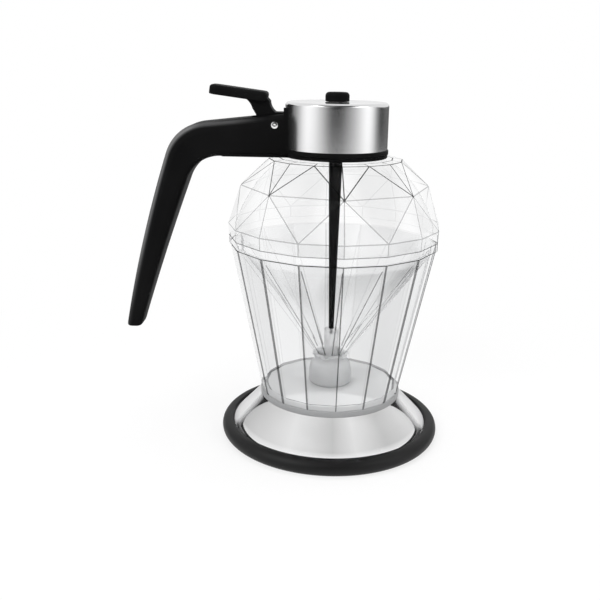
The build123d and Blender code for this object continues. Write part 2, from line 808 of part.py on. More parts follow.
# Handle: moulded grip with the pin's cheeks, and the collar that joins it to the lid
half_width = handle_width / 2
half_end = grip_end_width / 2
cut_foot = tip_height - cut_margin
collar_bore = insert_skirt_radius + fit_gap
lip_radius = collar_radius - collar_lip_step
line_foot = collar_foot + collar_lip
slot_floor = hub_foot - slot_floor_gap
with BuildPart() as handle:
    with BuildSketch(Plane.XZ) as outline:
        with BuildLine():
            Line((-root_inside, handle_top), (-bend_out, bend_height))
            ThreePointArc(
                (-bend_out, bend_height),
                (-back_bow_out, back_bow_height),
                (-tip_outer_out, tip_height),
            )
            Line((-tip_outer_out, tip_height), (-tip_inner_out, tip_height))
            ThreePointArc(
                (-tip_inner_out, tip_height),
                (-inner_bow_out, inner_bow_height),
                (-inner_bend_out, collar_foot),
            )
            Polyline(
                (-inner_bend_out, collar_foot),
                (-root_inside, collar_foot),
                (-root_inside, handle_top),
            )
        make_face()
        for corner_x, corner_z, radius in (
            (-bend_out, bend_height, bend_radius),
            (-inner_bend_out, collar_foot, inner_bend_radius),
            (-tip_outer_out, tip_height, tip_radius),
            (-tip_inner_out, tip_height, tip_radius),
        ):
            fillet(outline.vertices().sort_by_distance((corner_x, corner_z))[0], radius)
    extrude(amount=half_width, both=True)
    with BuildSketch(Plane.YZ.offset(-tip_outer_out - cut_margin)):
        with BuildLine():
            TangentArc((half_width, collar_foot), (half_end, cut_foot), tangent=(0, -1))
            Line((half_end, cut_foot), (-half_end, cut_foot))
            TangentArc((-half_width, collar_foot), (-half_end, cut_foot), tangent=(0, -1))
            Polyline(
                (-half_width, collar_foot),
                (-half_width, root_top),
                (half_width, root_top),
                (half_width, collar_foot),
            )
        make_face()
    extrude(amount=tip_outer_out, mode=Mode.INTERSECT)
    side_edges = [edge for edge in handle.edges() if abs(edge.center().Y) > half_end - cut_margin]
    rim = [edge for edge in side_edges if edge.center().X < -root_inside - cut_margin]
    fillet(rim, handle_rounding)
    with BuildSketch(Plane.XY.offset(collar_foot)):
        with Locations((-(root_out + root_inside) / 2, 0)):
            Rectangle(root_out - root_inside, handle_width)
    extrude(amount=root_top - collar_foot)
    with BuildSketch(Plane.XZ):
        with BuildLine():
            Polyline(
                (-root_inside, collar_foot),
                (rail_taper - rail_end_out, collar_foot),
                (-rail_end_out, collar_foot + rail_depth),
                (-root_inside, collar_foot + rail_depth),
                (-root_inside, collar_foot),
            )
        make_face()
    extrude(amount=half_width, both=True)
    with BuildSketch(Plane.XY.offset(collar_foot)):
        Circle(collar_bore)
    extrude(amount=collar_height, mode=Mode.SUBTRACT)
    with BuildSketch(Plane.XY.offset(collar_top)):
        Circle(cap_radius - cap_wall)
    extrude(amount=deck_top - collar_top, mode=Mode.SUBTRACT)
    with BuildSketch(Plane.XZ):
        with BuildLine():
            Polyline(
                (collar_bore, collar_foot),
                (lip_radius, collar_foot),
                (lip_radius, line_foot),
                (lip_radius - collar_line, line_foot + collar_line),
                (collar_radius, line_foot + 2 * collar_line),
                (collar_radius, collar_top),
                (collar_bore, collar_top),
                (collar_bore, collar_foot),
            )
        make_face()
    revolve(axis=Axis.Z)
    with BuildSketch(Plane.XY.offset(slot_floor)):
        with Locations((-(slot_end_out + root_inside - cut_margin) / 2, 0)):
            Rectangle(slot_end_out - root_inside + cut_margin, slot_width)
    extrude(amount=root_top - slot_floor, mode=Mode.SUBTRACT)
    with BuildSketch(Plane.XZ):
        with Locations((-pin_out, pin_level)):
            Circle(pin_radius + pin_fit)
    extrude(amount=half_width, both=True, mode=Mode.SUBTRACT)
    for side in (1, -1):
        with BuildSketch(Plane.XZ.offset(side * head_seat)):
            with Locations((-pin_out, pin_level)):
                Circle(pin_head_radius + fit_gap)
        extrude(amount=side * pin_head, mode=Mode.SUBTRACT)
handle.part.label = "handle"
export_step(handle.part, "parts/handle.step")
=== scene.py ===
import math

import bmesh
import bpy
import numpy as np
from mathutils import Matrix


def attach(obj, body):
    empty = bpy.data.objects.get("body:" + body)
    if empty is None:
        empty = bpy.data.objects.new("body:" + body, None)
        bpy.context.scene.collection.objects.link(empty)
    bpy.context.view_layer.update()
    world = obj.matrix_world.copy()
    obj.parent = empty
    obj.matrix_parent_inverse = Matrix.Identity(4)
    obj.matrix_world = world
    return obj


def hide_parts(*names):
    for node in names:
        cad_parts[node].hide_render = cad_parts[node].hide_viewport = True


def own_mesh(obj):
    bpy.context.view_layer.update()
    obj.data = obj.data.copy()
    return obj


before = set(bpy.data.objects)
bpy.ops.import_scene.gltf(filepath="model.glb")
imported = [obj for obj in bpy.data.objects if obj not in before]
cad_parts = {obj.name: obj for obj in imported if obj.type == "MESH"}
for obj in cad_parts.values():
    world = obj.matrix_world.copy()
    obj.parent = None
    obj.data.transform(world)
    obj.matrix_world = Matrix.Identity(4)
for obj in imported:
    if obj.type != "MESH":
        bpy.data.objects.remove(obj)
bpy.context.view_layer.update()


# Foot ring: black rubber, moulded in one piece with a groove in its upper side.
# It is stretched over the edge of the clear skirt and keeps the stand from sliding.
# Its sizes and all others in this file are in millimetres, as (radius, height) on turned pieces.
MM = 0.001
sharp_angle = 32.0
sole_inner, sole_outer = (39.4, 0.0), (44.8, 0.0)
widest = (47.5, 3.5)
ring_top = (43.0, 6.8)
ring_hollow = ((42.4, 5.6), (42.4, 2.0), (40.5, 2.0), (40.5, 3.2), (38.6, 3.2), (38.6, 0.6))
rubber_colour = (0.003, 0.003, 0.0032, 1.0)


class Wire:
    """A socket in a material. Arithmetic on wires adds Math nodes, and node() adds any other."""

    def __init__(self, socket):
        self.socket = socket
        self.tree = socket.id_data

    def node(self, kind, inputs, output=0, stops=(), **settings):
        """A new node of this kind: its settings are set first, then its sockets."""
        made = self.tree.nodes.new(kind)
        for key, value in settings.items():
            setattr(made, key, value)
        for index, (position, colour) in enumerate(stops):
            if index > 1:
                made.color_ramp.elements.new(position)
            made.color_ramp.elements[index].position = position
            made.color_ramp.elements[index].color = colour
        for key, value in inputs.items():
            if isinstance(value, Wire):
                self.tree.links.new(value.socket, made.inputs[key])
            else:
                made.inputs[key].default_value = value
        return Wire(made.outputs[output])

    def math(self, operation, *others):
        return self.node("ShaderNodeMath", dict(enumerate((self,) + others)),
                         operation=operation)

    def __add__(self, other):
        return self.math("ADD", other)

    def __mul__(self, other):
        return self.math("MULTIPLY", other)

    __radd__ = __add__
    __rmul__ = __mul__

    def ramp(self, start, stop, low=0.0, high=1.0, kind="SMOOTHSTEP"):
        """Goes from low to high while this wire goes from start to stop."""
        return self.node("ShaderNodeMapRange", {0: self, 1: start, 2: stop, 3: low, 4: high},
                         interpolation_type=kind)

    def tinted(self, low, high):
        """A colour that goes from low to high while this wire goes from 0 to 1."""
        return self.node("ShaderNodeMix", {0: self, 6: low, 7: high}, output=2, data_type="RGBA")

    def mixed(self, low, high):
        """A shader that goes from low to high while this wire goes from 0 to 1."""
        return self.node("ShaderNodeMixShader", {0: self, 1: low, 2: high})

    def noise(self, scale=1.0, detail=0.0):
        """Noise between 0 and 1 over the places in this wire."""
        return self.node("ShaderNodeTexNoise", {"Vector": self, "Scale": scale, "Detail": detail})

    def along(self, axis):
        """One of this wire's three coordinates, by its number."""
        return self.node("ShaderNodeSeparateXYZ", {0: self}, output=axis)

    def into(self, shader, name):
        """Links this wire to a socket of the shader."""
        self.tree.links.new(self.socket, shader.inputs[name])


def finish(name, **constants):
    """A material with one Principled shader, its constants, and the wire of Object coordinates.
    In a constant's name an underscore stands for a space."""
    material = bpy.data.materials.new(name)
    material.use_nodes = True
    shader = material.node_tree.nodes["Principled BSDF"]
    for key, value in constants.items():
        shader.inputs[key.replace("_", " ")].default_value = value
    place = Wire(material.node_tree.nodes.new("ShaderNodeTexCoord").outputs["Object"])
    return material, shader, place


def grain(place, size, detail=2.0, stretch=(1.0, 1.0, 1.0)):
    """Noise between 0 and 1 with lumps about size millimetres across, longer where stretched."""
    scale = [1.0 / (size * MM * part) for part in stretch]
    return place.node("ShaderNodeMapping", {"Vector": place, "Scale": scale}).noise(detail=detail)


def relief(height, depth):
    """A bump whose height, from 0 to 1, stands for depth millimetres."""
    return height.node("ShaderNodeBump", {"Height": height, "Distance": depth * MM,
                                          "Strength": 1.0})


def textured(shader, place, rough, bumps, detail=2.0):
    """Gives a shader bumps of one width and depth, and a roughness that rises from a base by a
    spread, in patches of one width."""
    base, spread, patch = rough
    (base + spread * grain(place, patch)).into(shader, "Roughness")
    relief(grain(place, bumps[0], detail), bumps[1]).into(shader, "Normal")


def moulded(name, rough, bumps, **constants):
    """A finish with one colour and the texture of a moulding."""
    material, shader, place = finish(name, **constants)
    textured(shader, place, rough, bumps)
    return material


def circle_centre(start, middle, end):
    """The centre of the circle through three points: it solves the two equations that say it
    is as far from start as from middle and as from end."""
    rows = 2 * np.array([middle - start, end - start])
    sums = np.array([middle @ middle - start @ start, end @ end - start @ start])
    return np.linalg.solve(rows, sums)


def arc(start, middle, end, steps):
    """Points on the circle through three points, in even steps of the angle."""
    start, middle, end = (np.asarray(point, float) for point in (start, middle, end))
    centre = circle_centre(start, middle, end)
    first, mid, last = (math.atan2(*(point - centre)[::-1]) for point in (start, middle, end))
    turn = 2 * math.pi
    sweep = (last - first) % turn
    if (mid - first) % turn > sweep:
        sweep -= turn
    angle = first + sweep * np.linspace(0, 1, steps + 1)
    return centre + np.linalg.norm(start - centre) * np.stack([np.cos(angle), np.sin(angle)], 1)


def rounded(corners, radii, steps=4):
    """A closed outline with its corners cut to arcs. Each arc's centre is on its corner's
    bisector, radius / sin(half the angle) away, and it turns evenly from side to side."""
    corner = np.asarray(corners, float)
    radius = np.asarray(radii, float)[:, None]
    back = np.roll(corner, 1, axis=0) - corner
    ahead = np.roll(corner, -1, axis=0) - corner
    back /= np.linalg.norm(back, axis=1, keepdims=True)
    ahead /= np.linalg.norm(ahead, axis=1, keepdims=True)
    half = 0.5 * np.arccos(np.clip((back * ahead).sum(axis=1, keepdims=True), -1, 1))
    bisector = back + ahead
    bisector /= np.linalg.norm(bisector, axis=1, keepdims=True)
    centre = corner + bisector * radius / np.sin(half)
    start = (corner + back * radius / np.tan(half) - centre)[:, None]
    end = (corner + ahead * radius / np.tan(half) - centre)[:, None]
    swing = (math.pi - 2 * half)[:, :, None]
    share = np.linspace(0, 1, steps + 1)[None, :, None]
    turned_arm = np.sin((1 - share) * swing) * start + np.sin(share * swing) * end
    return (centre[:, None] + turned_arm / np.sin(swing)).reshape(-1, 2)


def around(radius, angle, height):
    """Points (radius cos angle, radius sin angle, height)."""
    return np.stack(np.broadcast_arrays(radius * np.cos(angle), radius * np.sin(angle), height),
                    axis=-1)


def grid_faces(rows, columns, closed):
    """Quads between neighbours in a grid of points numbered row by row. The columns go round,
    and so do the rows where the grid is closed."""
    row = np.arange(rows if closed else rows - 1)[:, None]
    column = np.arange(columns)[None, :]
    row_after, column_after = (row + 1) % rows, (column + 1) % columns
    corners = (row * columns + column, row * columns + column_after,
               row_after * columns + column_after, row_after * columns + column)
    return np.stack([corner.ravel() for corner in corners], axis=1).tolist()


def turned(profile, closed=True, columns=192):
    """A profile (r, z) carried round the axis: at angle t it lies at (r cos t, r sin t, z)."""
    profile = np.asarray(profile, float)
    points = around(profile[:, :1], np.arange(columns) * (2 * math.pi / columns), profile[:, 1:])
    return points.reshape(-1, 3), grid_faces(len(profile), columns, closed)


def new_object(name, data):
    """Puts a mesh, a lamp or a camera into the scene."""
    made = bpy.data.objects.new(name, data)
    bpy.context.scene.collection.objects.link(made)
    return made


def new_mesh(name, points, faces, material):
    """A mesh of one material from points in millimetres."""
    mesh = bpy.data.meshes.new(name)
    mesh.from_pydata((np.asarray(points, float) * MM).tolist(), [], faces)
    mesh.materials.append(material)
    return mesh


def piece(name, shape, body, material, nodes=(), sharp=sharp_angle):
    """Puts a shape, in millimetres, into a mesh, closes it, and hands it to the frame."""
    mesh = new_mesh(name, *shape, material)
    work = bmesh.new()
    work.from_mesh(mesh)
    bmesh.ops.remove_doubles(work, verts=work.verts, dist=1e-6)
    bmesh.ops.dissolve_degenerate(work, edges=work.edges, dist=1e-7)
    bmesh.ops.recalc_face_normals(work, faces=work.faces)
    work.to_mesh(mesh)
    work.free()
    mesh.shade_smooth()
    mesh.set_sharp_from_angle(angle=math.radians(sharp))
    made = new_object(name, mesh)
    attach(made, body)
    if nodes:
        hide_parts(*nodes)
    return made


rubber = moulded("foot_rubber", rough=(0.40, 0.14, 9.0), bumps=(0.35, 0.02),
                 Base_Color=rubber_colour, Specular_IOR_Level=0.25)
ring_profile = np.concatenate([[sole_inner], arc(sole_outer, widest, ring_top, 24), ring_hollow])
piece("foot_rubber_ring", turned(ring_profile), "stand", rubber,
      nodes=["foot_ring"])


# Skirt: the stand's flared foot, clear, moulded thin and open below, with a flat deck.
# Its upright edge sits in the rubber ring, and the deck carries the cup.
skirt_corners = ((24.0, 18.4), (30.4, 18.4), (42.37, 5.63), (42.37, 2.03), (40.53, 2.03),
                 (40.53, 4.9), (29.6, 16.5), (24.0, 16.5))
skirt_radii = (0.3, 0.5, 1.5, 0.2, 0.2, 1.2, 0.8, 0.3)
skirt_tint = (0.77, 0.77, 0.775, 1.0)
# Painted reflections: the skirt's grey at each bearing round the axis.
skirt_painted_reflections = ((-90, 0.66), (-66, 0.60), (-45, 0.74), (-25, 0.86), (-11, 0.76), (3, 0.62),
                 (17, 0.84), (27, 0.74), (38, 0.62), (52, 0.70), (66, 0.80), (84, 0.66),
                 (110, 0.80), (135, 0.66), (160, 0.80), (185, 0.66), (215, 0.80), (245, 0.66),
                 (269.9, 0.66))
# Heights where the skirt's lower edge fades into a painted white highlight.
skirt_edge_highlight = (5.9, 6.9)
pure_white = (1.0, 1.0, 1.0, 1.0)
milky_white = (0.82, 0.82, 0.825, 1.0)
milky_strength, milky_fade = 0.85, 6.0
wall_bend = 1.005
# Sizes and limits of the painted shade from flat to flat on the clear walls.
flat_scale, flat_part, cloud_part = 2.6, 0.85, 0.15
cloud_size, cloud_stretch = 16.0, (1.0, 1.0, 1.8)
dim_limits = (0.40, 0.60)
back_limits = (6.0, 14.0)


def any_ray(tree, *kinds):
    """1 for rays of these kinds, and 0 for all others."""
    path = tree.nodes.new("ShaderNodeLightPath")
    found = Wire(path.outputs[kinds[0]])
    for kind in kinds[1:]:
        found = found.math("MAXIMUM", Wire(path.outputs[kind]))
    return found


def clear_finish(name, tint, dim=None, back=None, paint=None, haze=0.0, roughness=0.12,
                 shine=0.06, milky=(0.86, 0.96), milky_half=60.0, shaded=None, draw=0.0):
    """Clear moulded wall: it bends light a little, and a share of haze scatters in it. Its tint
    goes to a dimmer one from flat to flat and a little in soft clouds: this is painted shade,
    standing in for the light and shade that the flats catch. Draw picks other flats, and shaded
    keeps the painted shade between a foot and a top, fullest at the level between. The back
    half can have its own tint, and paint can work out another colour from the place.
    Seen at a slant between the two milky limits the wall turns white, as a thick one does on
    edge, up to milky_half before and behind the axis. Rays of shadow and of soft light pass
    straight through."""
    material, shader, place = finish(name, Base_Color=tint, IOR=wall_bend,
                                     Transmission_Weight=1.0 - haze, Coat_Weight=shine,
                                     Coat_IOR=1.5, Coat_Roughness=0.1)
    tree = material.node_tree
    shade = paint(place) if paint else tint
    # Painted shade: the tint dims from flat to flat and a little in soft clouds.
    if dim:
        facing = Wire(tree.nodes.new("ShaderNodeNewGeometry").outputs["Normal"])
        flat = facing.node("ShaderNodeVectorMath", {0: facing, 1: (draw, 0.0, 0.0)},
                           operation="ADD").noise(flat_scale)
        cloud = grain(place, cloud_size, detail=0.0, stretch=cloud_stretch)
        share = (flat_part * flat + cloud_part * cloud).ramp(*dim_limits, kind="LINEAR")
        if shaded:
            foot, full, top = (level * MM for level in shaded)
            height = place.along(2)
            share = share.math("MAXIMUM", height.ramp(foot, full, 1.0, 0.0))
            share = share.math("MAXIMUM", height.ramp(full, top))
        shade = share.tinted(dim, tint)
    depth = place.along(1)
    if back:
        shade = depth.ramp(*(limit * MM for limit in back_limits)).tinted(shade, back)
    if isinstance(shade, Wire):
        shade.into(shader, "Base Color")
    textured(shader, place, rough=(roughness, 0.04, 14.0), bumps=(9.0, 0.003), detail=0.0)
    wall = Wire(shader.outputs[0])
    if milky:
        slant = Wire(tree.nodes.new("ShaderNodeLayerWeight").outputs["Facing"])
        beside = depth.math("ABSOLUTE").ramp(milky_half * MM, (milky_half + milky_fade) * MM,
                                             1.0, 0.0, kind="LINEAR")
        milk = slant.node("ShaderNodeBsdfDiffuse", {0: milky_white})
        wall = (slant.ramp(*milky, high=milky_strength) * beside).mixed(wall, milk)
    straight = any_ray(tree, "Is Shadow Ray", "Is Diffuse Ray")
    open_pane = straight.node("ShaderNodeBsdfTransparent", {0: tint})
    straight.mixed(wall, open_pane).into(tree.nodes["Material Output"], "Surface")
    return material


def round_shades(place, shades):
    """Greys round the axis, from a list of (bearing, grey): a bearing is counted in degrees
    from the camera's side towards the right."""
    bearing = place.node("ShaderNodeTexGradient", {"Vector": place}, output=1,
                         gradient_type="RADIAL")
    stops = [(0.25 + degrees / 360, (grey, grey, grey, 1.0)) for degrees, grey in shades]
    return bearing.node("ShaderNodeValToRGB", {0: bearing}, stops=stops)


def painted_reflections_and_edge(place):
    """The skirt's painted reflections in greys round the axis, and a painted white highlight at
    its lower edge.
    """
    lower_edge_highlight = place.along(2).ramp(skirt_edge_highlight[0] * MM, skirt_edge_highlight[1] * MM, 1.0, 0.0,
                                   kind="LINEAR")
    return lower_edge_highlight.tinted(round_shades(place, skirt_painted_reflections), pure_white)


skirt_clear = clear_finish("skirt_clear", skirt_tint, paint=painted_reflections_and_edge, roughness=0.05,
                           milky=(0.56, 0.66), milky_half=18.0)
piece("skirt_clear_wall", turned(rounded(skirt_corners, skirt_radii)), "stand", skirt_clear,
      nodes=["stand_skirt"])


# Joint band: a grey silicone ring, pressed between the skirt's deck and the cup's floor.
# It hides the joint, and its outer edges are a little rounded.
band_corners = ((25.0, 18.42), (30.4, 18.42), (30.4, 20.98), (25.0, 20.98))
band_radii = (0.2, 0.35, 0.35, 0.2)
band_colour = (0.33, 0.333, 0.337, 1.0)

silicone = moulded("band_silicone", rough=(0.42, 0.12, 6.0), bumps=(0.5, 0.01),
                   Base_Color=band_colour, Specular_IOR_Level=0.35)
piece("band_silicone_ring", turned(rounded(band_corners, band_radii)), "stand", silicone,
      nodes=["stand_band"])


# Drip cup: clear, moulded with sixteen flat sides and a thin floor.
# The corners between its sides are rounded, and they show as grey lines of painted shade.
facet_count = 16
facet_turn = 5.25
cup_foot, cup_rim = (30.1, 21.0), (43.3, 85.0)
inner_rim, inner_foot = (41.45, 85.0), (28.54, 22.3)
cup_profile = ((0.0, cup_foot[1]), cup_foot, cup_rim, inner_rim, inner_foot, (0.0, inner_foot[1]))
cup_tint = (0.95, 0.953, 0.955, 1.0)
# Painted shade on the cup's flats; the line tints below are the painted dark of its rounded edges.
cup_painted_shade = (0.84, 0.842, 0.845, 1.0)
cup_floor_tint = (0.92, 0.923, 0.925, 1.0)
cup_line_tint = (0.08, 0.08, 0.081, 1.0)
rim_line_tint = (0.01, 0.01, 0.01, 1.0)
inner_line_tint = (0.75, 0.75, 0.753, 1.0)
faint_line = (0.80, 0.80, 0.803, 1.0)
floor_line_tint = (0.24, 0.24, 0.242, 1.0)
corner_widths = (1.0, 0.6, 0.6, 0.6, 0.6, 0.6, 0.6, 0.6, 1.0, 2.0, 1.4, 0.8, 0.5, 0.9, 1.8, 2.0)
inner_line_width = 0.6
rim_line_width = 0.8
floor_line_width = 1.6
flat_angle = 2.0
floor_slack = 0.2


def level_ring(radius, height, count):
    """Points of a level ring: (radius cos t, radius sin t, height) in even steps of t."""
    angle = math.radians(facet_turn) + np.arange(count) * (2 * math.pi / count)
    return around(radius, angle, height)


def joined(low, high, low_count, high_count):
    """Faces between two rings of numbered points that start at low and at high. Equal counts
    give quads, and otherwise each side of the coarser ring meets its run of finer points."""
    if low_count > high_count:
        return [face[::-1] for face in joined(high, low, high_count, low_count)]
    share = high_count // low_count
    side = np.arange(low_count)[:, None]
    run = np.arange(share, -1, -1)[None, :]
    coarse = np.concatenate([side, (side + 1) % low_count], axis=1) + low
    fine = (side * share + run) % high_count + high
    return np.concatenate([coarse, fine], axis=1).tolist()


def skinned(rings, weaves=None):
    """A skin over rings of points, each joined to the next, and the last to the first."""
    counts = [len(ring) for ring in rings]
    starts = np.concatenate([[0], np.cumsum(counts)]).tolist()
    faces = []
    for index in range(len(rings)):
        after = (index + 1) % len(rings)
        weave = (weaves or {}).get(index, joined)
        faces += weave(starts[index], starts[after], counts[index], counts[after])
    return np.concatenate(rings), faces


def plain(edge):
    """True for an edge between two faces of the walls, away from the lines made so far."""
    return all(face.material_index == 0 for face in edge.link_faces)


def soften(made, material, width, chosen):
    """Rounds the edges for which chosen(one end, other end) holds. The narrow new faces get the
    material, and only they and the sharp corners break the shading."""
    if material.name not in made.data.materials:
        made.data.materials.append(material)
    number = made.data.materials.find(material.name)
    work = bmesh.new()
    work.from_mesh(made.data)
    edges = [edge for edge in work.edges
             if edge.calc_face_angle(0.0) > math.radians(flat_angle) and plain(edge)
             and chosen(edge.verts[0].co / MM, edge.verts[1].co / MM)]
    bmesh.ops.bevel(work, geom=edges, offset=width * MM / 2, offset_type="OFFSET",
                    segments=1, profile=0.5, affect="EDGES", material=number, clamp_overlap=True)
    for edge in work.edges:
        edge.smooth = edge.calc_face_angle(0.0) < math.radians(sharp_angle) and plain(edge)
    work.to_mesh(made.data)
    work.free()


def repaint(made, number, material, chosen):
    """Gives a material to the faces that have this number and a middle that is chosen."""
    made.data.materials.append(material)
    for face in made.data.polygons:
        if face.material_index == number and chosen(face.center / MM):
            face.material_index = len(made.data.materials) - 1


def near(point, ring, slack=0.6):
    """True for a point that lies within the slack of a level ring (radius, height)."""
    return abs(math.hypot(point.x, point.y) - ring[0]) < slack and abs(point.z - ring[1]) < slack


def runs(start, end, slack=0.6):
    """A test for edges that run from one level ring to another, either way round."""
    return lambda a, b: (near(a, start, slack) and near(b, end, slack)
                         or near(a, end, slack) and near(b, start, slack))


def line_finish(name, tint, back=faint_line):
    """The finish of a narrow rounded edge: darker than the walls in painted shade, for the
    dark line that a clear rounded edge shows, and fainter on the back half.
    """
    return clear_finish(name, tint, back=back, shine=0.0, milky=None)


def corner_width(point):
    """The width of the line along the cup's corner that this point is on."""
    turn = math.degrees(math.atan2(point.y, point.x)) - facet_turn
    return corner_widths[round(turn / (360 / facet_count)) % facet_count]


cup_clear = clear_finish("cup_clear", cup_tint, cup_painted_shade)
cup_line = line_finish("cup_line", cup_line_tint)
cup_rim_line = line_finish("cup_rim_line", rim_line_tint)
cup_inner_line = line_finish("cup_inner_line", inner_line_tint)
cup_floor_line = line_finish("cup_floor_line", floor_line_tint, back=None)
cup_floor = clear_finish("cup_floor", cup_floor_tint, haze=0.55)
cup_rings = [level_ring(r, z, facet_count) for r, z in cup_profile]
cup = piece("cup_clear_wall", skinned(cup_rings), "stand", cup_clear,
            nodes=["stand_cup"])
soften(cup, cup_floor_line, floor_line_width, runs(inner_foot, inner_foot))
along_corner = runs(cup_foot, cup_rim)
for width in sorted(set(corner_widths)):
    soften(cup, cup_line, width, lambda a, b: along_corner(a, b) and corner_width(a) == width)
soften(cup, cup_inner_line, inner_line_width, runs(inner_foot, inner_rim, slack=0.9))
soften(cup, cup_rim_line, rim_line_width, runs(cup_rim, cup_rim))
soften(cup, cup_inner_line, rim_line_width, runs(cup_foot, cup_foot))
repaint(cup, 0, cup_floor, lambda middle: middle.z < inner_foot[1] + floor_slack)
cup.visible_shadow = False


# Funnel: the jar's lower shell, clear and faceted. Its flange rests on the cup's rim, its
# rim is welded to the dome, and the round tube at its tip carries the nozzle.
funnel_tip, funnel_bend = (7.6, 37.0), (40.3, 82.0)
flange_low, flange_high = (43.9, 85.04), (43.9, 88.58)
funnel_outside = (funnel_tip, funnel_bend, (41.0, 85.04), flange_low, flange_high)
funnel_inside = ((39.06, 88.58), (38.36, 82.0), (4.28, 38.9))
tube_inside = ((4.2, 38.9), (4.2, 27.2), (4.4, 27.0))
tube_outside = ((5.6, 27.0), (5.8, 27.2), (5.8, 36.8), (5.8, 37.0))
funnel_tint = (0.995, 0.996, 0.997, 1.0)
# Painted shade on the funnel's front flats: soft dark patches, fullest just under the cup's rim.
funnel_painted_shade = (0.68, 0.682, 0.683, 1.0)
funnel_painted_shade_heights = (54.0, 79.6, 81.6)
funnel_draw = 1.45
funnel_line_tint = (0.14, 0.14, 0.143, 1.0)
funnel_line_width = 0.55
circle_points = 96

funnel_clear = clear_finish("funnel_clear", funnel_tint, funnel_painted_shade, funnel_tint,
                            roughness=0.08, shaded=funnel_painted_shade_heights, draw=funnel_draw)
funnel_line = line_finish("funnel_line", funnel_line_tint)
funnel_rings = ([level_ring(r, z, facet_count) for r, z in funnel_outside + funnel_inside]
                + [level_ring(r, z, circle_points) for r, z in tube_inside + tube_outside])
funnel = piece("funnel_clear_wall", skinned(funnel_rings), "jar", funnel_clear,
               nodes=["jar_funnel"])
soften(funnel, funnel_line, funnel_line_width, runs(funnel_tip, funnel_bend))
soften(funnel, funnel_line, funnel_line_width, runs(flange_high, flange_high))
soften(funnel, cup_rim_line, funnel_line_width, runs(flange_low, flange_low))
funnel.visible_shadow = False


# Nozzle: a soft grey boot on the funnel's tube, with a lobed upper edge.
# The hole in its floor is the valve's seat, through which the honey drips.
boot_floor = ((5.82, 26.96), (3.6, 26.96), (1.9, 25.3), (1.9, 23.5), (2.6, 22.7), (8.3, 22.7),
              (9.1, 23.5), (9.1, 28.0), (8.7, 31.0), (8.1, 31.9))
boot_waist = (7.1, 33.2)
boot_top = (7.9, 36.1)
boot_bore, boot_bore_foot = 5.82, 27.2
boot_edge_radius = 0.3
lobes = 5
lobe_turn = 34.0
lobe_cut_radius = 2.6
lobe_cut_depth = 1.1
boot_colour = (0.84, 0.843, 0.847, 1.0)


def lobed_boot(columns=240, rows=16):
    """The boot's wall as a turned grid whose upper rows sink where the edge is cut: the edge
    at angle t lies under the circle z = middle - sqrt(cut radius^2 - side^2), where side is
    the distance from the nearest cut's middle line."""
    angle = np.arange(columns) * (2 * math.pi / columns)
    pitch = 2 * math.pi / lobes
    off = (angle - math.radians(lobe_turn) + pitch / 2) % pitch - pitch / 2
    side = np.minimum(np.abs(boot_top[0] * np.sin(off)), lobe_cut_radius)
    dip = np.maximum(lobe_cut_depth - lobe_cut_radius + np.sqrt(lobe_cut_radius ** 2 - side ** 2), 0)
    swell = arc(boot_floor[-1], boot_waist, boot_top, rows)
    inner = np.stack([np.full(rows, boot_bore),
                      np.linspace(boot_top[1], boot_bore_foot, rows)], axis=1)
    edge = rounded((boot_top, (boot_bore, boot_top[1]), (boot_bore, boot_bore_foot),
                    (boot_top[0], boot_bore_foot)), [boot_edge_radius] * 4)
    edge = edge[:len(edge) // 2]
    profile = np.concatenate([boot_floor, swell[1:-2], edge, inner[2:]])
    height = profile[:, 1:]
    share = np.clip((height - boot_waist[1]) / (boot_top[1] - boot_waist[1]), 0, 1)
    points = around(profile[:, :1], angle, height - share * dip)
    return points.reshape(-1, 3), grid_faces(len(profile), columns, True)


boot = moulded("boot_silicone", rough=(0.45, 0.12, 4.0), bumps=(0.4, 0.01),
               Base_Color=boot_colour, Specular_IOR_Level=0.2, Transmission_Weight=0.5, IOR=1.1)
piece("boot_silicone_nozzle", lobed_boot(), "jar", boot,
      nodes=["outlet_nozzle"])


# Dome: the jar's upper shell, clear, cut outside like a brilliant and smooth inside.
# Its neck has a raised screw thread that holds the lid.
girdle_low, girdle_high = (43.9, 88.62), (44.15, 93.4)
middle_corners = (39.0, 109.2)
crown, shoulder = (27.4, 120.2), (23.4, 120.6)
cuts = (girdle_low, girdle_high, middle_corners, crown, shoulder)
ceiling_edge = (14.5, 117.8)
belly = ((40.9, 93.4), (34.13, 107.3), (24.47, 117.8))
neck_lip = ((16.9, 125.3), (16.75, 125.65), (16.4, 125.8), (15.0, 125.8), (14.65, 125.65),
            (14.5, 125.3))
thread_pitch = 2.4
thread_height = 0.42
thread_half_width = 0.65
thread_turns = 1.25
thread_middle = 123.0
thread_fade = 1 / 12
dome_tint = (0.995, 0.996, 0.997, 1.0)
# The dome's flats get painted shade on the front half only, and its cut lines are painted dark.
dome_painted_shade = (0.85, 0.852, 0.853, 1.0)
dome_line_tint = (0.01, 0.01, 0.01, 1.0)
dome_line_width = 0.44
faint_line_top = middle_corners[1] + 0.4
star_point_size = 0.8
girdle_line_tint = (0.34, 0.34, 0.343, 1.0)


def brilliant(low, high, low_count, high_count):
    """Triangles between a ring and one with half as many points, point over point: two stand
    on the finer ring's sides, and the third on the coarser ring's side."""
    if low_count < high_count:
        return [face[::-1] for face in brilliant(high, low, high_count, low_count)]
    k = np.arange(high_count)
    after = high + (k + 1) % high_count
    fine = [low + (2 * k + step) % low_count for step in range(3)]
    left = np.stack([fine[0], fine[1], high + k], axis=1)
    right = np.stack([fine[1], fine[2], after], axis=1)
    between = np.stack([fine[1], after, high + k], axis=1)
    return np.concatenate([left, right, between]).tolist()


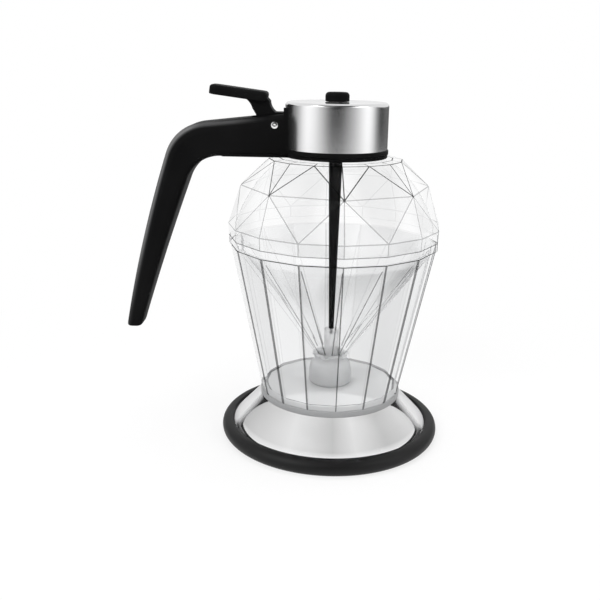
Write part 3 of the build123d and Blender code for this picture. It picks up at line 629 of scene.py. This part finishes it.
def threaded_neck(rows=34):
    """The neck's outside as rings. The thread's crest climbs one pitch a turn, and over its
    width the radius swells as a half circle does; at both ends the ridge fades out."""
    angle = np.arange(circle_points) * (2 * math.pi / circle_points)
    height = np.linspace(shoulder[1], neck_lip[0][1], rows)[:, None]
    swell = np.zeros((rows, circle_points))
    for lap in range(math.ceil(thread_turns)):
        along = angle / (2 * math.pi) + lap
        crest = thread_middle + thread_pitch * (along - thread_turns / 2)
        fade = np.clip(np.minimum(along, thread_turns - along) / thread_fade, 0, 1)
        across = np.clip((height - crest) / thread_half_width, -1, 1)
        swell = np.maximum(swell, thread_height * fade * np.sqrt(1 - across ** 2))
    return list(around(neck_lip[0][0] + swell, angle + math.radians(facet_turn), height))


def on_faint_cut(point):
    """True at the level of the middle corners and below, but not right at those corners."""
    return point.z < faint_line_top and not near(point, middle_corners, star_point_size)


cut_rings = [level_ring(*cut, facet_count // (2 if cut == middle_corners else 1)) for cut in cuts]
inner_profile = [ceiling_edge] + arc(*belly, 28)[::-1].tolist() + [(belly[0][0], girdle_low[1])]
smooth_rings = [level_ring(r, z, circle_points) for r, z in list(neck_lip[1:]) + inner_profile]
dome_clear = clear_finish("dome_clear", dome_tint, dome_painted_shade, dome_tint, milky=(0.93, 0.99))
dome_line = line_finish("dome_line", dome_line_tint)
girdle_line = line_finish("girdle_line", girdle_line_tint)
dome = piece("dome_clear_wall",
             skinned(cut_rings + threaded_neck() + smooth_rings,
                     weaves={1: brilliant, 2: brilliant}),
             "jar", dome_clear, nodes=["jar_dome"])
cut_lines = ([runs(low, high) for low, high in zip(cuts, cuts[1:])]
             + [runs(cut, cut) for cut in cuts[1:]])
soften(dome, dome_line, dome_line_width, lambda a, b: any(line(a, b) for line in cut_lines))
repaint(dome, 1, girdle_line, on_faint_cut)
dome.visible_shadow = False


# Gasket, rod seal and insert: soft clear rings and a white moulded cap with the lid's thread.
# They are pressed into the lid, and only its underside shows them when the lid is off.
def dress(node, material):
    """Gives a piece of the frame its material."""
    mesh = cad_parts[node].data
    mesh.materials.clear()
    mesh.materials.append(material)


seal = moulded("seal_silicone", rough=(0.30, 0.10, 3.0), bumps=(0.5, 0.01),
               Base_Color=(0.72, 0.73, 0.74, 1.0), Transmission_Weight=0.4, IOR=1.41)
dress("neck_gasket", seal)
dress("rod_seal", seal)

white = moulded("insert_white", rough=(0.34, 0.10, 5.0), bumps=(0.25, 0.008),
                Base_Color=(0.80, 0.80, 0.78, 1.0), Specular_IOR_Level=0.4)
dress("lid_insert", white)
dress("rod_bushing", white)


# Handle: moulded black grip that grows out of a root block in the drum's side. Its top is
# slotted for the lever, and its collar, made in one with it, closes round the lid's foot.
top_line = ((21.0, 137.98), (65.0, 132.9))
top_bow = ((65.0, 132.9), (78.5, 90.0), (88.7, 47.0))
top_elbow = 18.0
under_line = ((21.0, 121.0), (56.7, 121.0))
under_bow = ((56.7, 121.0), (70.3, 84.0), (82.3, 47.0))
under_elbow = 14.5
grip_half_width = 8.2
grip_end_half_width = 5.5
grip_straight_foot = 121.0
grip_steps = (4, 6, 14, 40)
grip_rounding = 2.4
tip_rounding = 1.2
slot_half_width = 5.0
slot_floor = 128.2
slot_end = 34.6
slot_edge = 0.4
root_inside, root_outside, root_top = 18.2, 21.0, 140.4
root_rounding = 0.35
rail = ((18.2, 121.0), (45.4, 121.0), (49.0, 122.2), (18.2, 122.2))
rail_rounding = 0.25
collar_corners = ((19.05, 121.0), (20.9, 121.0), (20.9, 122.2), (20.75, 122.35), (21.2, 122.5),
                  (21.2, 124.2), (19.05, 124.2))
collar_radii = (0.2, 0.35, 0.05, 0.05, 0.1, 0.3, 0.2)
black_deep, black_worn = (0.002, 0.002, 0.0021, 1.0), (0.008, 0.008, 0.0083, 1.0)
# The grey of the painted highlight on the grip's edges, and where it lies.
edge_painted_highlight = (0.10, 0.10, 0.102, 1.0)
highlight_out, highlight_low = (30.0, 42.0), (48.0, 88.0)
highlight_lean = (0.8, 0.6)
highlight_full, highlight_least = 0.45, 0.15
patch_size = 24.0


def elbowed(line, bow, radius, steps):
    """A straight line, an elbow of the given radius and a bow, as points. The elbow's centre
    is a radius below the line and a radius inside the bow's circle, so it touches both."""
    line_start, corner = (np.asarray(point, float) for point in line)
    along = (corner - line_start) / np.linalg.norm(corner - line_start)
    below = np.array([along[1], -along[0]])
    first, mid, last = (np.asarray(point, float) for point in bow)
    middle = circle_centre(first, mid, last)
    bow_radius = np.linalg.norm(first - middle)
    base = line_start + below * radius - middle
    half = base @ along
    run = -half + math.sqrt(half ** 2 - base @ base + (bow_radius - radius) ** 2)
    centre = line_start + along * run + below * radius
    leave = line_start + along * run
    arrive = middle + (centre - middle) * bow_radius / np.linalg.norm(centre - middle)
    halfway = (leave + arrive) / 2 - centre
    halfway = centre + halfway * radius / np.linalg.norm(halfway)
    middle_angle = (arrive + last) / 2 - middle
    bow_mid = middle + middle_angle * bow_radius / np.linalg.norm(middle_angle)
    slot_side = line_start + along * (slot_end - line_start[0]) / along[0]
    lines = [np.linspace(line_start, slot_side, steps[0] + 1),
             np.linspace(slot_side, leave, steps[1] + 1),
             arc(leave, halfway, arrive, steps[2])[1:], arc(arrive, bow_mid, last, steps[3])[1:]]
    return np.concatenate(lines)


def grip_loop(outer, inner, half_width, rounding, cut):
    """One cross-section of the grip: a rounded rectangle between its outer and inner point.
    Its outer side goes down into the lever's slot where cut is 1, and runs flat where it is 0.
    Returns points (out, across, up)."""
    depth = np.linalg.norm(outer - inner)
    rise = (outer - inner) / depth
    quarter = np.linspace(0, math.pi / 2, 7)
    sine, cosine = np.sin(quarter) * rounding, np.cos(quarter) * rounding
    wall, top, foot = half_width - rounding, depth - rounding, rounding
    floor = (slot_floor - inner[1]) / rise[1]
    dip = np.linspace(0, 1, 5)
    lip = slot_half_width + slot_edge * (1 - np.sin(quarter[::2]))
    lip_drop = slot_edge * (1 - np.cos(quarter[::2]))
    slot_y = np.concatenate([lip, np.full(5, slot_half_width), slot_half_width * (1 - dip[1:])])
    slot_v = np.concatenate([depth - lip_drop, depth - slot_edge - (depth - slot_edge - floor) * dip,
                             np.full(4, floor)])
    flat_y = np.linspace(slot_half_width + slot_edge, 0, len(slot_y))
    flat_y = np.minimum(flat_y, wall * np.linspace(1, 0, len(slot_y)))
    half_y = cut * slot_y + (1 - cut) * flat_y
    half_v = cut * slot_v + (1 - cut) * depth
    right_y = np.concatenate([half_y[::-1], wall + sine, [half_width] * 3, wall + cosine])
    right_v = np.concatenate([half_v[::-1], top + cosine, np.linspace(top, foot, 5)[1:-1],
                              foot - sine])
    side = np.concatenate([right_y, -right_y[::-1][:-1]])
    up = np.concatenate([right_v, right_v[::-1][:-1]])
    spot = inner + rise * up[:, None]
    return np.stack([spot[:, 0], side, spot[:, 1]], axis=1)


def grip_width(height):
    """Half the grip's width: full above the straight part's foot, and below it drawn in along
    a circle that starts upright there and reaches the end's width at the tip."""
    fall = np.clip(grip_straight_foot - height, 0, None)
    reach_down = grip_straight_foot - top_bow[2][1]
    step = grip_half_width - grip_end_half_width
    radius = (reach_down ** 2 + step ** 2) / (2 * step)
    return grip_half_width - radius + np.sqrt(radius ** 2 - fall ** 2)


def capped(loops):
    """A skin over loops of points, each joined to the next, the first and last closed flat."""
    count = loops.shape[1]
    last = (len(loops) - 1) * count
    ends = [list(range(count)), list(range(last + count - 1, last - 1, -1))]
    return loops.reshape(-1, 3), grid_faces(len(loops), count, False) + ends


def grip():
    """The grip as loops from the root block inside the drum out to the rounded tip."""
    outer = elbowed(top_line, top_bow, top_elbow, grip_steps)
    inner = elbowed(under_line, under_bow, under_elbow, grip_steps)
    loops = [grip_loop(np.array((out, root_top)), np.array((out, grip_straight_foot)),
                       grip_half_width, root_rounding, 1.0) for out in (root_inside, root_outside)]
    for number, (over, under) in enumerate(zip(outer, inner)):
        width = float(grip_width((over[1] + under[1]) / 2))
        slotted = 1.0 if number <= grip_steps[0] else 0.0
        loops.append(grip_loop(over, under, width, grip_rounding, slotted))
    tip_out, tip_in = outer[-1], inner[-1]
    across = (tip_out - tip_in) / np.linalg.norm(tip_out - tip_in)
    onward = (outer[-1] - outer[-2] + inner[-1] - inner[-2])
    onward /= np.linalg.norm(onward)
    loops.pop()
    for angle in np.linspace(0, math.pi / 2, 8):
        inset = tip_rounding * (1 - math.cos(angle))
        shift = onward * tip_rounding * (math.sin(angle) - 1)
        loops.append(grip_loop(tip_out - across * inset + shift, tip_in + across * inset + shift,
                               grip_end_half_width - inset, grip_rounding - inset, 0.0))
    return capped(np.array(loops) * (-1, 1, 1))


def stacked(outline, insets, heights, origin, sideways, onwards, upwards):
    """An outline stacked in levels: at each level it is drawn in by that level's inset, along
    the bisectors of its corners, and the first and last levels are closed flat."""
    outline = np.asarray(outline, float)
    following = np.roll(outline, -1, axis=0)
    ahead = following - outline
    ahead /= np.linalg.norm(ahead, axis=1, keepdims=True)
    area = np.sum(outline[:, 0] * following[:, 1] - outline[:, 1] * following[:, 0])
    inward = np.stack([-ahead[:, 1], ahead[:, 0]], axis=1) * np.sign(area)
    both = inward + np.roll(inward, 1, axis=0)
    miter = both * 2 / (both ** 2).sum(axis=1, keepdims=True)
    levels = outline[None] + miter[None] * np.asarray(insets)[:, None, None]
    axes = np.array([sideways, onwards], float)
    height = np.asarray(heights, float)[:, None, None] * np.asarray(upwards, float)
    return capped(np.asarray(origin, float) + levels @ axes + height)


def edge_levels(low, high, low_radius, high_radius, steps=4):
    """Insets and heights of levels with a quarter circle at the lower and the upper edge."""
    angle = np.linspace(0, math.pi / 2, steps + 1)
    insets = np.concatenate([low_radius * (1 - np.sin(angle)), high_radius * (1 - np.cos(angle))])
    heights = np.concatenate([low + low_radius * (1 - np.cos(angle)),
                              high - high_radius * (1 - np.sin(angle))])
    return insets, heights


def side_slab(outline, low, high, rounding):
    """A side view (out, up) carried across from y = low to y = high, with rounded edges."""
    return stacked(outline, *edge_levels(low, high, rounding, rounding), origin=(0, 0, 0),
                   sideways=(-1, 0, 0), onwards=(0, 0, 1), upwards=(0, 1, 0))


def mark_edge_highlight(made):
    """A painted highlight, with a coat's gloss, on the rounded edges between the grip's back and
    its sides: the product of how far a vertex normal leans out and up and how far it leans
    sideways, squared, and faded out near the drum and towards the tip."""
    normals, spots = np.empty((2, len(made.data.vertices) * 3))
    made.data.vertices.foreach_get("normal", normals)
    made.data.vertices.foreach_get("co", spots)
    normals, spots = normals.reshape(-1, 3), spots.reshape(-1, 3) / MM
    outward = (np.maximum(-normals[:, 0], 0) * highlight_lean[0]
               + np.maximum(normals[:, 2], 0) * highlight_lean[1])
    turn = outward * np.abs(normals[:, 1])
    far_out = np.clip((-spots[:, 0] - highlight_out[0]) / (highlight_out[1] - highlight_out[0]), 0, 1)
    low_fade = np.clip((spots[:, 2] - highlight_low[0]) / (highlight_low[1] - highlight_low[0]), highlight_least, 1)
    highlight = np.clip(turn / highlight_full, 0, 1) ** 2 * far_out * low_fade
    made.data.attributes.new("edge_highlight", "FLOAT", "POINT").data.foreach_set("value", highlight)


black, shader, place = finish("handle_black", Specular_IOR_Level=0.03, Coat_IOR=1.5,
                              Coat_Roughness=0.3)
patches = grain(place, patch_size)
# Painted highlight: the grip's edges turned out and up get a lighter colour and a coat.
highlight = place.node("ShaderNodeAttribute", {}, output=2, attribute_name="edge_highlight")
highlight.tinted(patches.tinted(black_deep, black_worn), edge_painted_highlight).into(shader, "Base Color")
highlight.into(shader, "Coat Weight")
textured(shader, place, rough=(0.46, 0.12, 11.0), bumps=(0.3, 0.015))
handle = piece("handle_grip", grip(), "lid", black, nodes=["handle"], sharp=40.0)
mark_edge_highlight(handle)
piece("handle_rail", side_slab(rail, -grip_half_width, grip_half_width, rail_rounding), "lid",
      black)
piece("handle_collar", turned(rounded(collar_corners, collar_radii)), "lid", black)


# Steel drum: a thin stainless cover, spun and brushed round, pressed over the insert.
# A slot in its side takes the handle's root, and the hole in its top the rod's bushing.
drum_radius, drum_wall = 20.8, 0.6
drum_foot, drum_top = 124.2, 142.7
drum_hole = 3.67
drum_rounding, drum_edge = 1.4, 0.12
drum_slot_half, drum_slot_reach = 8.25, 12.0
drum_slot_top = 140.5
steel_colour = (0.70, 0.70, 0.705, 1.0)
brush_fineness, brush_length = 14000.0, 25.0
brush_rough, brush_spread, brush_depth = 0.15, 0.10, 0.004


def rounded_top(radius, top, rounding, steps=8):
    """The quarter circle between a turned piece's wall and its flat top."""
    bend = rounding * (1 - math.sqrt(0.5))
    return arc((radius, top - rounding), (radius - bend, top - bend), (radius - rounding, top),
               steps)


def drum(columns=176, slot_columns=16):
    """The cover's wall as a turned grid. Its columns lie closer beside the slot, whose sides
    are upright planes: at radius r a side lies at the angle asin(half the slot / r)."""
    inner_radius = drum_radius - drum_wall
    profile = np.concatenate([
        [(drum_radius - drum_edge, drum_foot), (drum_radius, drum_foot + drum_edge),
         (drum_radius, drum_slot_top)],
        rounded_top(drum_radius, drum_top, drum_rounding),
        [(drum_hole, drum_top), (drum_hole, drum_top - drum_wall),
         (inner_radius, drum_top - drum_wall), (inner_radius, drum_slot_top),
         (inner_radius, drum_foot)]])
    radius = profile[:, :1]
    half = np.arcsin(drum_slot_half / np.maximum(radius, drum_slot_reach))
    in_slot = np.linspace(-1, 1, slot_columns + 1)[:-1]
    beyond = np.linspace(0, 1, columns - slot_columns + 1)[:-1]
    angle = math.pi + np.concatenate([half * in_slot, half + (2 * math.pi - 2 * half) * beyond],
                                     axis=1)
    points = around(radius, angle, profile[:, 1:]).reshape(-1, 3)
    rows = len(profile)
    faces = np.array(grid_faces(rows, columns, True))
    low = (points[faces][:, :, 2] <= drum_slot_top).all(axis=1)
    open_side = low & (faces[:, 0] % columns < slot_columns)
    kept = faces[~open_side].tolist()
    outside, inside = 2, rows - 2
    outer, inner = (row * columns + np.arange(slot_columns) for row in (outside, inside))
    lintel = np.stack([outer, outer + 1, inner + 1, inner], axis=1).tolist()
    jamb = [[column, columns + column, 2 * columns + column, inside * columns + column,
             (rows - 1) * columns + column] for column in (0, slot_columns)]
    return points, kept + lintel + jamb


steel, shader, place = finish("drum_steel", Base_Color=steel_colour, Metallic=1.0,
                              Anisotropic=0.3)
east, north, height = (place.along(axis) for axis in range(3))
ring_radius = (east * east + north * north).math("SQRT")
brush_place = place.node("ShaderNodeCombineXYZ", {0: (ring_radius + height) * brush_fineness,
                                                  1: east * brush_length,
                                                  2: north * brush_length})
brushing = brush_place.noise(detail=3.0)
(brush_rough + brush_spread * brushing).into(shader, "Roughness")
relief(brushing, brush_depth).into(shader, "Normal")
piece("drum_steel_cover", drum(), "lid", steel, nodes=["steel_cap"])


# Lever pin: a plated steel rivet through the handle's cheeks, with a domed and dimpled head
# on each side. The lever turns on it.
pin_out, pin_up = 24.6, 133.7
pin_radius, head_radius = 1.25, 1.6
head_seat, head_crown = 7.85, 8.35
dimple_radius, dimple_floor = 0.35, 8.2
dimple_slope, dimple_rise = 0.15, 0.03
head_bow = ((dimple_radius, 0.03), (1.1, 0.08), (head_radius, 0.24))


def rivet():
    """The pin's profile (radius, across) turned about its own axis, which runs across. The
    head's bow is given by its depth below the crown at three radii."""
    bow = [(radius, head_crown - depth) for radius, depth in head_bow]
    dimple = [(0.0, dimple_floor), (dimple_radius - dimple_slope, dimple_floor + dimple_rise)]
    head = np.concatenate([dimple, arc(*bow, 6), [(head_radius, head_seat), (pin_radius, head_seat)]])
    profile = np.concatenate([head, head[::-1] * (1, -1)])
    points, faces = turned(profile, closed=False, columns=48)
    return points[:, [0, 2, 1]] + (-pin_out, 0, pin_up), faces


plated = moulded("plated_steel", rough=(0.14, 0.08, 1.5), bumps=(0.2, 0.002),
                 Base_Color=(0.88, 0.88, 0.88, 1.0), Metallic=1.0)
pin_piece = piece("pin_rivet", rivet(), "lid", plated, nodes=["lever_pin"])
# The drum doesn't mirror the small bright head.
pin_piece.visible_glossy = False


# Lever: one black moulding. Its thumb pad rises towards the tip, a bowed neck joins it to the
# hub on the pin, and inside the drum its fork lifts the washer on the rod.
pad_root_out, pad_root_up = 27.7, 146.2
pad_slope = math.radians(7.2)
pad_length = 23.25
pad_thickness = 3.8
pad_half_width = 7.0
pad_tip_corner, pad_root_corner = 3.6, 2.6
pad_edges = (0.5, 1.3)
nose_drop, nose_in = 2.0, 0.3
neck_out, neck_sink = 8.2, 1.5
neck_back = ((10.1, 8.1), (9.2, 6.2), (7.8, 3.9), (6.8, 0.0), (4.1, -3.4))
neck_front = ((1.2, 5.8), (2.3, 9.0))
hub_radius, hub_top_run = 4.7, 3.2
lever_half_width = 4.6
fork_foot, fork_top, fork_nose = 129.5, 131.1, 132.0
fork_end, fork_split = -4.0, 4.05
fork_root, fork_rise, fork_shoulder = 18.2, 10.5, (17.2, 133.0)
fork_gap_half = 3.15
nose_half, prong_root = 3.3, 6.0
lever_rounding, prong_rounding = 0.5, 0.2

pad_out = np.array((math.cos(pad_slope), math.sin(pad_slope)))
pad_up = np.array((-math.sin(pad_slope), math.cos(pad_slope)))
pad_root = np.array((pad_root_out, pad_root_up))
pad_plan = rounded(((0.0, -pad_half_width), (pad_length, -pad_half_width),
                    (pad_length, pad_half_width), (0.0, pad_half_width)),
                   (pad_root_corner, pad_tip_corner, pad_tip_corner, pad_root_corner), steps=8)
pad_shape = stacked(pad_plan, *edge_levels(-pad_thickness, 0.0, *pad_edges, steps=6),
                    origin=(-pad_root_out, 0, pad_root_up),
                    sideways=(-pad_out[0], 0, pad_out[1]), onwards=(0, 1, 0),
                    upwards=(-pad_up[0], 0, pad_up[1]))

pin = np.array((pin_out, pin_up))
back_points = [tuple(pin + point) for point in neck_back]
front_points = [tuple(pin + point) for point in neck_front]
pad_under = pad_root - pad_up * pad_thickness
neck_start = pad_under + pad_out * neck_out
pad_nose = pad_root - pad_up * nose_drop + pad_out * nose_in
side_view = np.concatenate([
    [pad_nose, neck_start + pad_up * neck_sink],
    arc(neck_start, back_points[0], back_points[1], 8),
    [back_points[2]],
    arc(back_points[3], back_points[4], (pin_out, pin_up - hub_radius), 12),
    [(fork_root, fork_foot), (fork_split, fork_foot), (fork_split, fork_top),
     (fork_rise, fork_top), fork_shoulder, (pin_out - hub_top_run, pin_up + hub_radius)],
    arc((pin_out, pin_up + hub_radius), front_points[0], front_points[1], 8),
])
prong_view = np.concatenate([
    [(prong_root, fork_foot), (fork_end, fork_foot), (fork_end, fork_top)],
    arc((-nose_half, fork_top), (0.0, fork_nose), (nose_half, fork_top), 10),
    [(prong_root, fork_top)],
])


def together(*shapes):
    """Several closed shapes as one."""
    points, faces, start = [], [], 0
    for more_points, more_faces in shapes:
        points.append(more_points)
        faces += [[index + start for index in face] for face in more_faces]
        start += len(more_points)
    return np.concatenate(points), faces


neck_shape = side_slab(side_view, -lever_half_width, lever_half_width, lever_rounding)
prongs = [side_slab(prong_view, *sorted((side * fork_gap_half, side * lever_half_width)),
                    prong_rounding) for side in (1, -1)]
piece("thumb_lever", together(pad_shape, neck_shape, *prongs), "lever", black,
      nodes=["lever"], sharp=40.0)


# Plunger: a black rod with a long taper, and on its tip a soft clear stopper for the nozzle.
# A washer and a clip near its top take the lever's lift and the wound spring's push.
rod_corners = ((0.0, 146.0), (1.8, 146.0), (1.8, 143.3), (2.75, 143.3), (2.75, 133.85),
               (2.25, 133.85), (2.25, 133.25), (2.75, 133.25), (2.75, 117.5), (1.05, 47.1),
               (0.6, 47.1), (0.6, 44.6), (0.0, 44.6))
stopper_corners = ((0.0, 44.6), (0.6, 44.6), (0.6, 47.1), (2.4, 47.1), (2.75, 46.95),
                   (2.9, 46.6), (2.9, 26.35), (1.4, 24.85), (0.0, 24.85))

piece("plunger_black_rod", turned(rod_corners, closed=False, columns=96), "plunger", black,
      nodes=["plunger_rod"])
stopper = moulded("stopper_silicone", rough=(0.28, 0.10, 3.0), bumps=(0.5, 0.01),
                  Base_Color=(0.88, 0.88, 0.883, 1.0), Transmission_Weight=0.7, IOR=1.1)
piece("stopper_soft_plug", turned(stopper_corners, closed=False, columns=96), "plunger", stopper,
      nodes=["valve_stopper"])
for plated_node in ("lift_washer", "rod_clip", "return_spring"):
    dress(plated_node, plated)
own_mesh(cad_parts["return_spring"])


# Knob: a black button pressed on the rod's end, above the drum, with a rounded upper edge.
# It rises with the rod when the lever is pressed.
knob_foot, knob_top, knob_radius = 142.9, 146.55, 4.85
knob_rounding, knob_edge = 1.5, 0.15

knob_profile = np.concatenate([
    [(0.0, knob_foot), (knob_radius - knob_edge, knob_foot), (knob_radius, knob_foot + knob_edge)],
    rounded_top(knob_radius, knob_top, knob_rounding), [(0.0, knob_top)],
])
piece("knob_button", turned(knob_profile, closed=False, columns=128), "plunger", black,
      nodes=["knob"])


# Studio: a plain white floor and soft lamps. Only mirrored rays find the round wall, whose
# white and grey stripes give the steel and the clear walls their gloss, and the dark hood.
floor_half = 3000.0
floor_grey = (0.9, 0.9, 0.9, 1.0)
shadow_near, shadow_far, shadow_white = 100.0, 260.0, 0.75
soft_light, seen_light = 0.45, 0.55
wall_away, wall_foot = 950.0, 2.0
wall_top_behind, wall_top_ahead = 150.0, 760.0
wall_shine, hood_shine = 1.48, 0.04
wall_shades = ((-90, 0.46), (-80, 0.78), (-66, 1.0), (-50, 0.86), (-37, 0.58), (-26, 0.34),
               (-16, 0.10), (-8, 0.01), (6, 0.01), (13, 0.07), (26, 0.24), (40, 0.44), (55, 0.74),
               (66, 0.96), (76, 1.0), (86, 0.70), (98, 0.18), (112, 0.01), (126, 0.06), (140, 0.1),
               (180, 0.1), (215, 0.1), (228, 0.02), (244, 0.10), (256, 0.22), (269.9, 0.46))
hood = ((-480.0, -950.0), (480.0, -950.0), (480.0, -150.0), (-480.0, -150.0))
lamps = (("key", (-620, -760, 900), 700, 7.6), ("fill", (820, -520, 500), 600, 3.4),
         ("top", (0, 100, 1200), 800, 6.0))
lamp_aim = (0.0, 0.0, 70.0)


def stage_plane(name, points, material, faces=((0, 1, 2, 3),)):
    """A stage piece from its points, which are four corners of a plane unless faces say more."""
    made = new_object(name, new_mesh(name, points, faces, material))
    return made


def seen_rays(tree):
    """1 for rays that show a surface: straight to the camera, mirrored or through glass."""
    return any_ray(tree, "Is Camera Ray", "Is Glossy Ray", "Is Transmission Ray")


floor_white, matt, place = finish("floor_white", Base_Color=floor_grey, Roughness=0.9,
                                  Specular_IOR_Level=0.0)
glow = place.node("ShaderNodeEmission", {0: pure_white})
distance = place.node("ShaderNodeVectorMath", {0: place}, output="Value", operation="LENGTH")
far = distance.ramp(shadow_near * MM, shadow_far * MM, shadow_white, 1.0)
floor_shader = (seen_rays(floor_white.node_tree) * far).mixed(Wire(matt.outputs[0]), glow)
floor_shader.into(floor_white.node_tree.nodes["Material Output"], "Surface")
stage_plane("floor", [(x * floor_half, y * floor_half, 0) for x, y in
                      ((-1, -1), (1, -1), (1, 1), (-1, 1))], floor_white)


def mirrored_only(name, points, strength, shades=None, **mesh):
    """A shining stage piece, even or in greys round the axis, that only mirrored rays find."""
    material, shader, place = finish(name)
    colour = round_shades(place, shades) if shades else pure_white
    glow = place.node("ShaderNodeEmission", {0: colour, 1: strength})
    glow.into(material.node_tree.nodes["Material Output"], "Surface")
    made = stage_plane(name, points, material, **mesh)
    for kind in ("camera", "diffuse", "shadow", "transmission"):
        setattr(made, f"visible_{kind}", False)


wall_points, wall_faces = turned([(wall_away, 0.0), (wall_away, 1.0)], closed=False)
ahead = np.clip(0.5 - wall_points[:, 1] / wall_away, 0, 1)
wall_top = wall_top_behind + (wall_top_ahead - wall_top_behind) * ahead
wall_points[:, 2] = np.where(wall_points[:, 2] > 0, wall_top, wall_foot)
mirrored_only("studio_wall", wall_points, wall_shine, wall_shades, faces=wall_faces)
mirrored_only("studio_hood", [(x, y, wall_top_ahead) for x, y in hood], hood_shine)

world = bpy.data.worlds.new("studio")
bpy.context.scene.world = world
world.use_nodes = True
background = world.node_tree.nodes["Background"]
background.inputs["Color"].default_value = pure_white
(soft_light + seen_light * seen_rays(world.node_tree)).into(background, "Strength")

for name, spot, size, watts in lamps:
    lamp = bpy.data.lights.new(name, "AREA")
    lamp.shape = "SQUARE"
    lamp.size = size * MM
    lamp.energy = watts
    stand = new_object(name, lamp)
    direction = np.array(lamp_aim) - np.array(spot, float)
    stand.location = np.array(spot) * MM
    stand.visible_glossy = name != "top"
    stand.rotation_euler = (math.acos(-direction[2] / np.linalg.norm(direction)), 0.0,
                            math.atan2(direction[1], direction[0]) - math.pi / 2)


# Camera: at the photograph's place and angle, worked out from the printed sizes.
# It looks slightly down on the lid, with the handle to the left.
camera_spot = (0.0, -329.21, 157.56)
camera_yaw, camera_pitch, camera_roll = (math.radians(v) for v in (-2.4, -16.59, 0.86))
focal_pixels = 796.79
picture_width = 600
sensor_width = 36.0

forward = np.array((math.sin(camera_yaw) * math.cos(camera_pitch),
                    math.cos(camera_yaw) * math.cos(camera_pitch), math.sin(camera_pitch)))
level = np.array((math.cos(camera_yaw), -math.sin(camera_yaw), 0.0))
upright = np.cross(level, forward)
right = level * math.cos(camera_roll) + upright * math.sin(camera_roll)
up = upright * math.cos(camera_roll) - level * math.sin(camera_roll)
camera = new_object("camera", bpy.data.cameras.new("camera"))
placed = np.eye(4)
placed[:3, 0], placed[:3, 1], placed[:3, 2] = right, up, -forward
placed[:3, 3] = np.array(camera_spot) * MM
camera.matrix_world = placed.T.tolist()
camera.data.sensor_width = sensor_width
camera.data.lens = focal_pixels / picture_width * sensor_width
camera.data.clip_start = 10 * MM
bpy.context.scene.camera = camera
bpy.context.scene.view_settings.view_transform = "Standard"
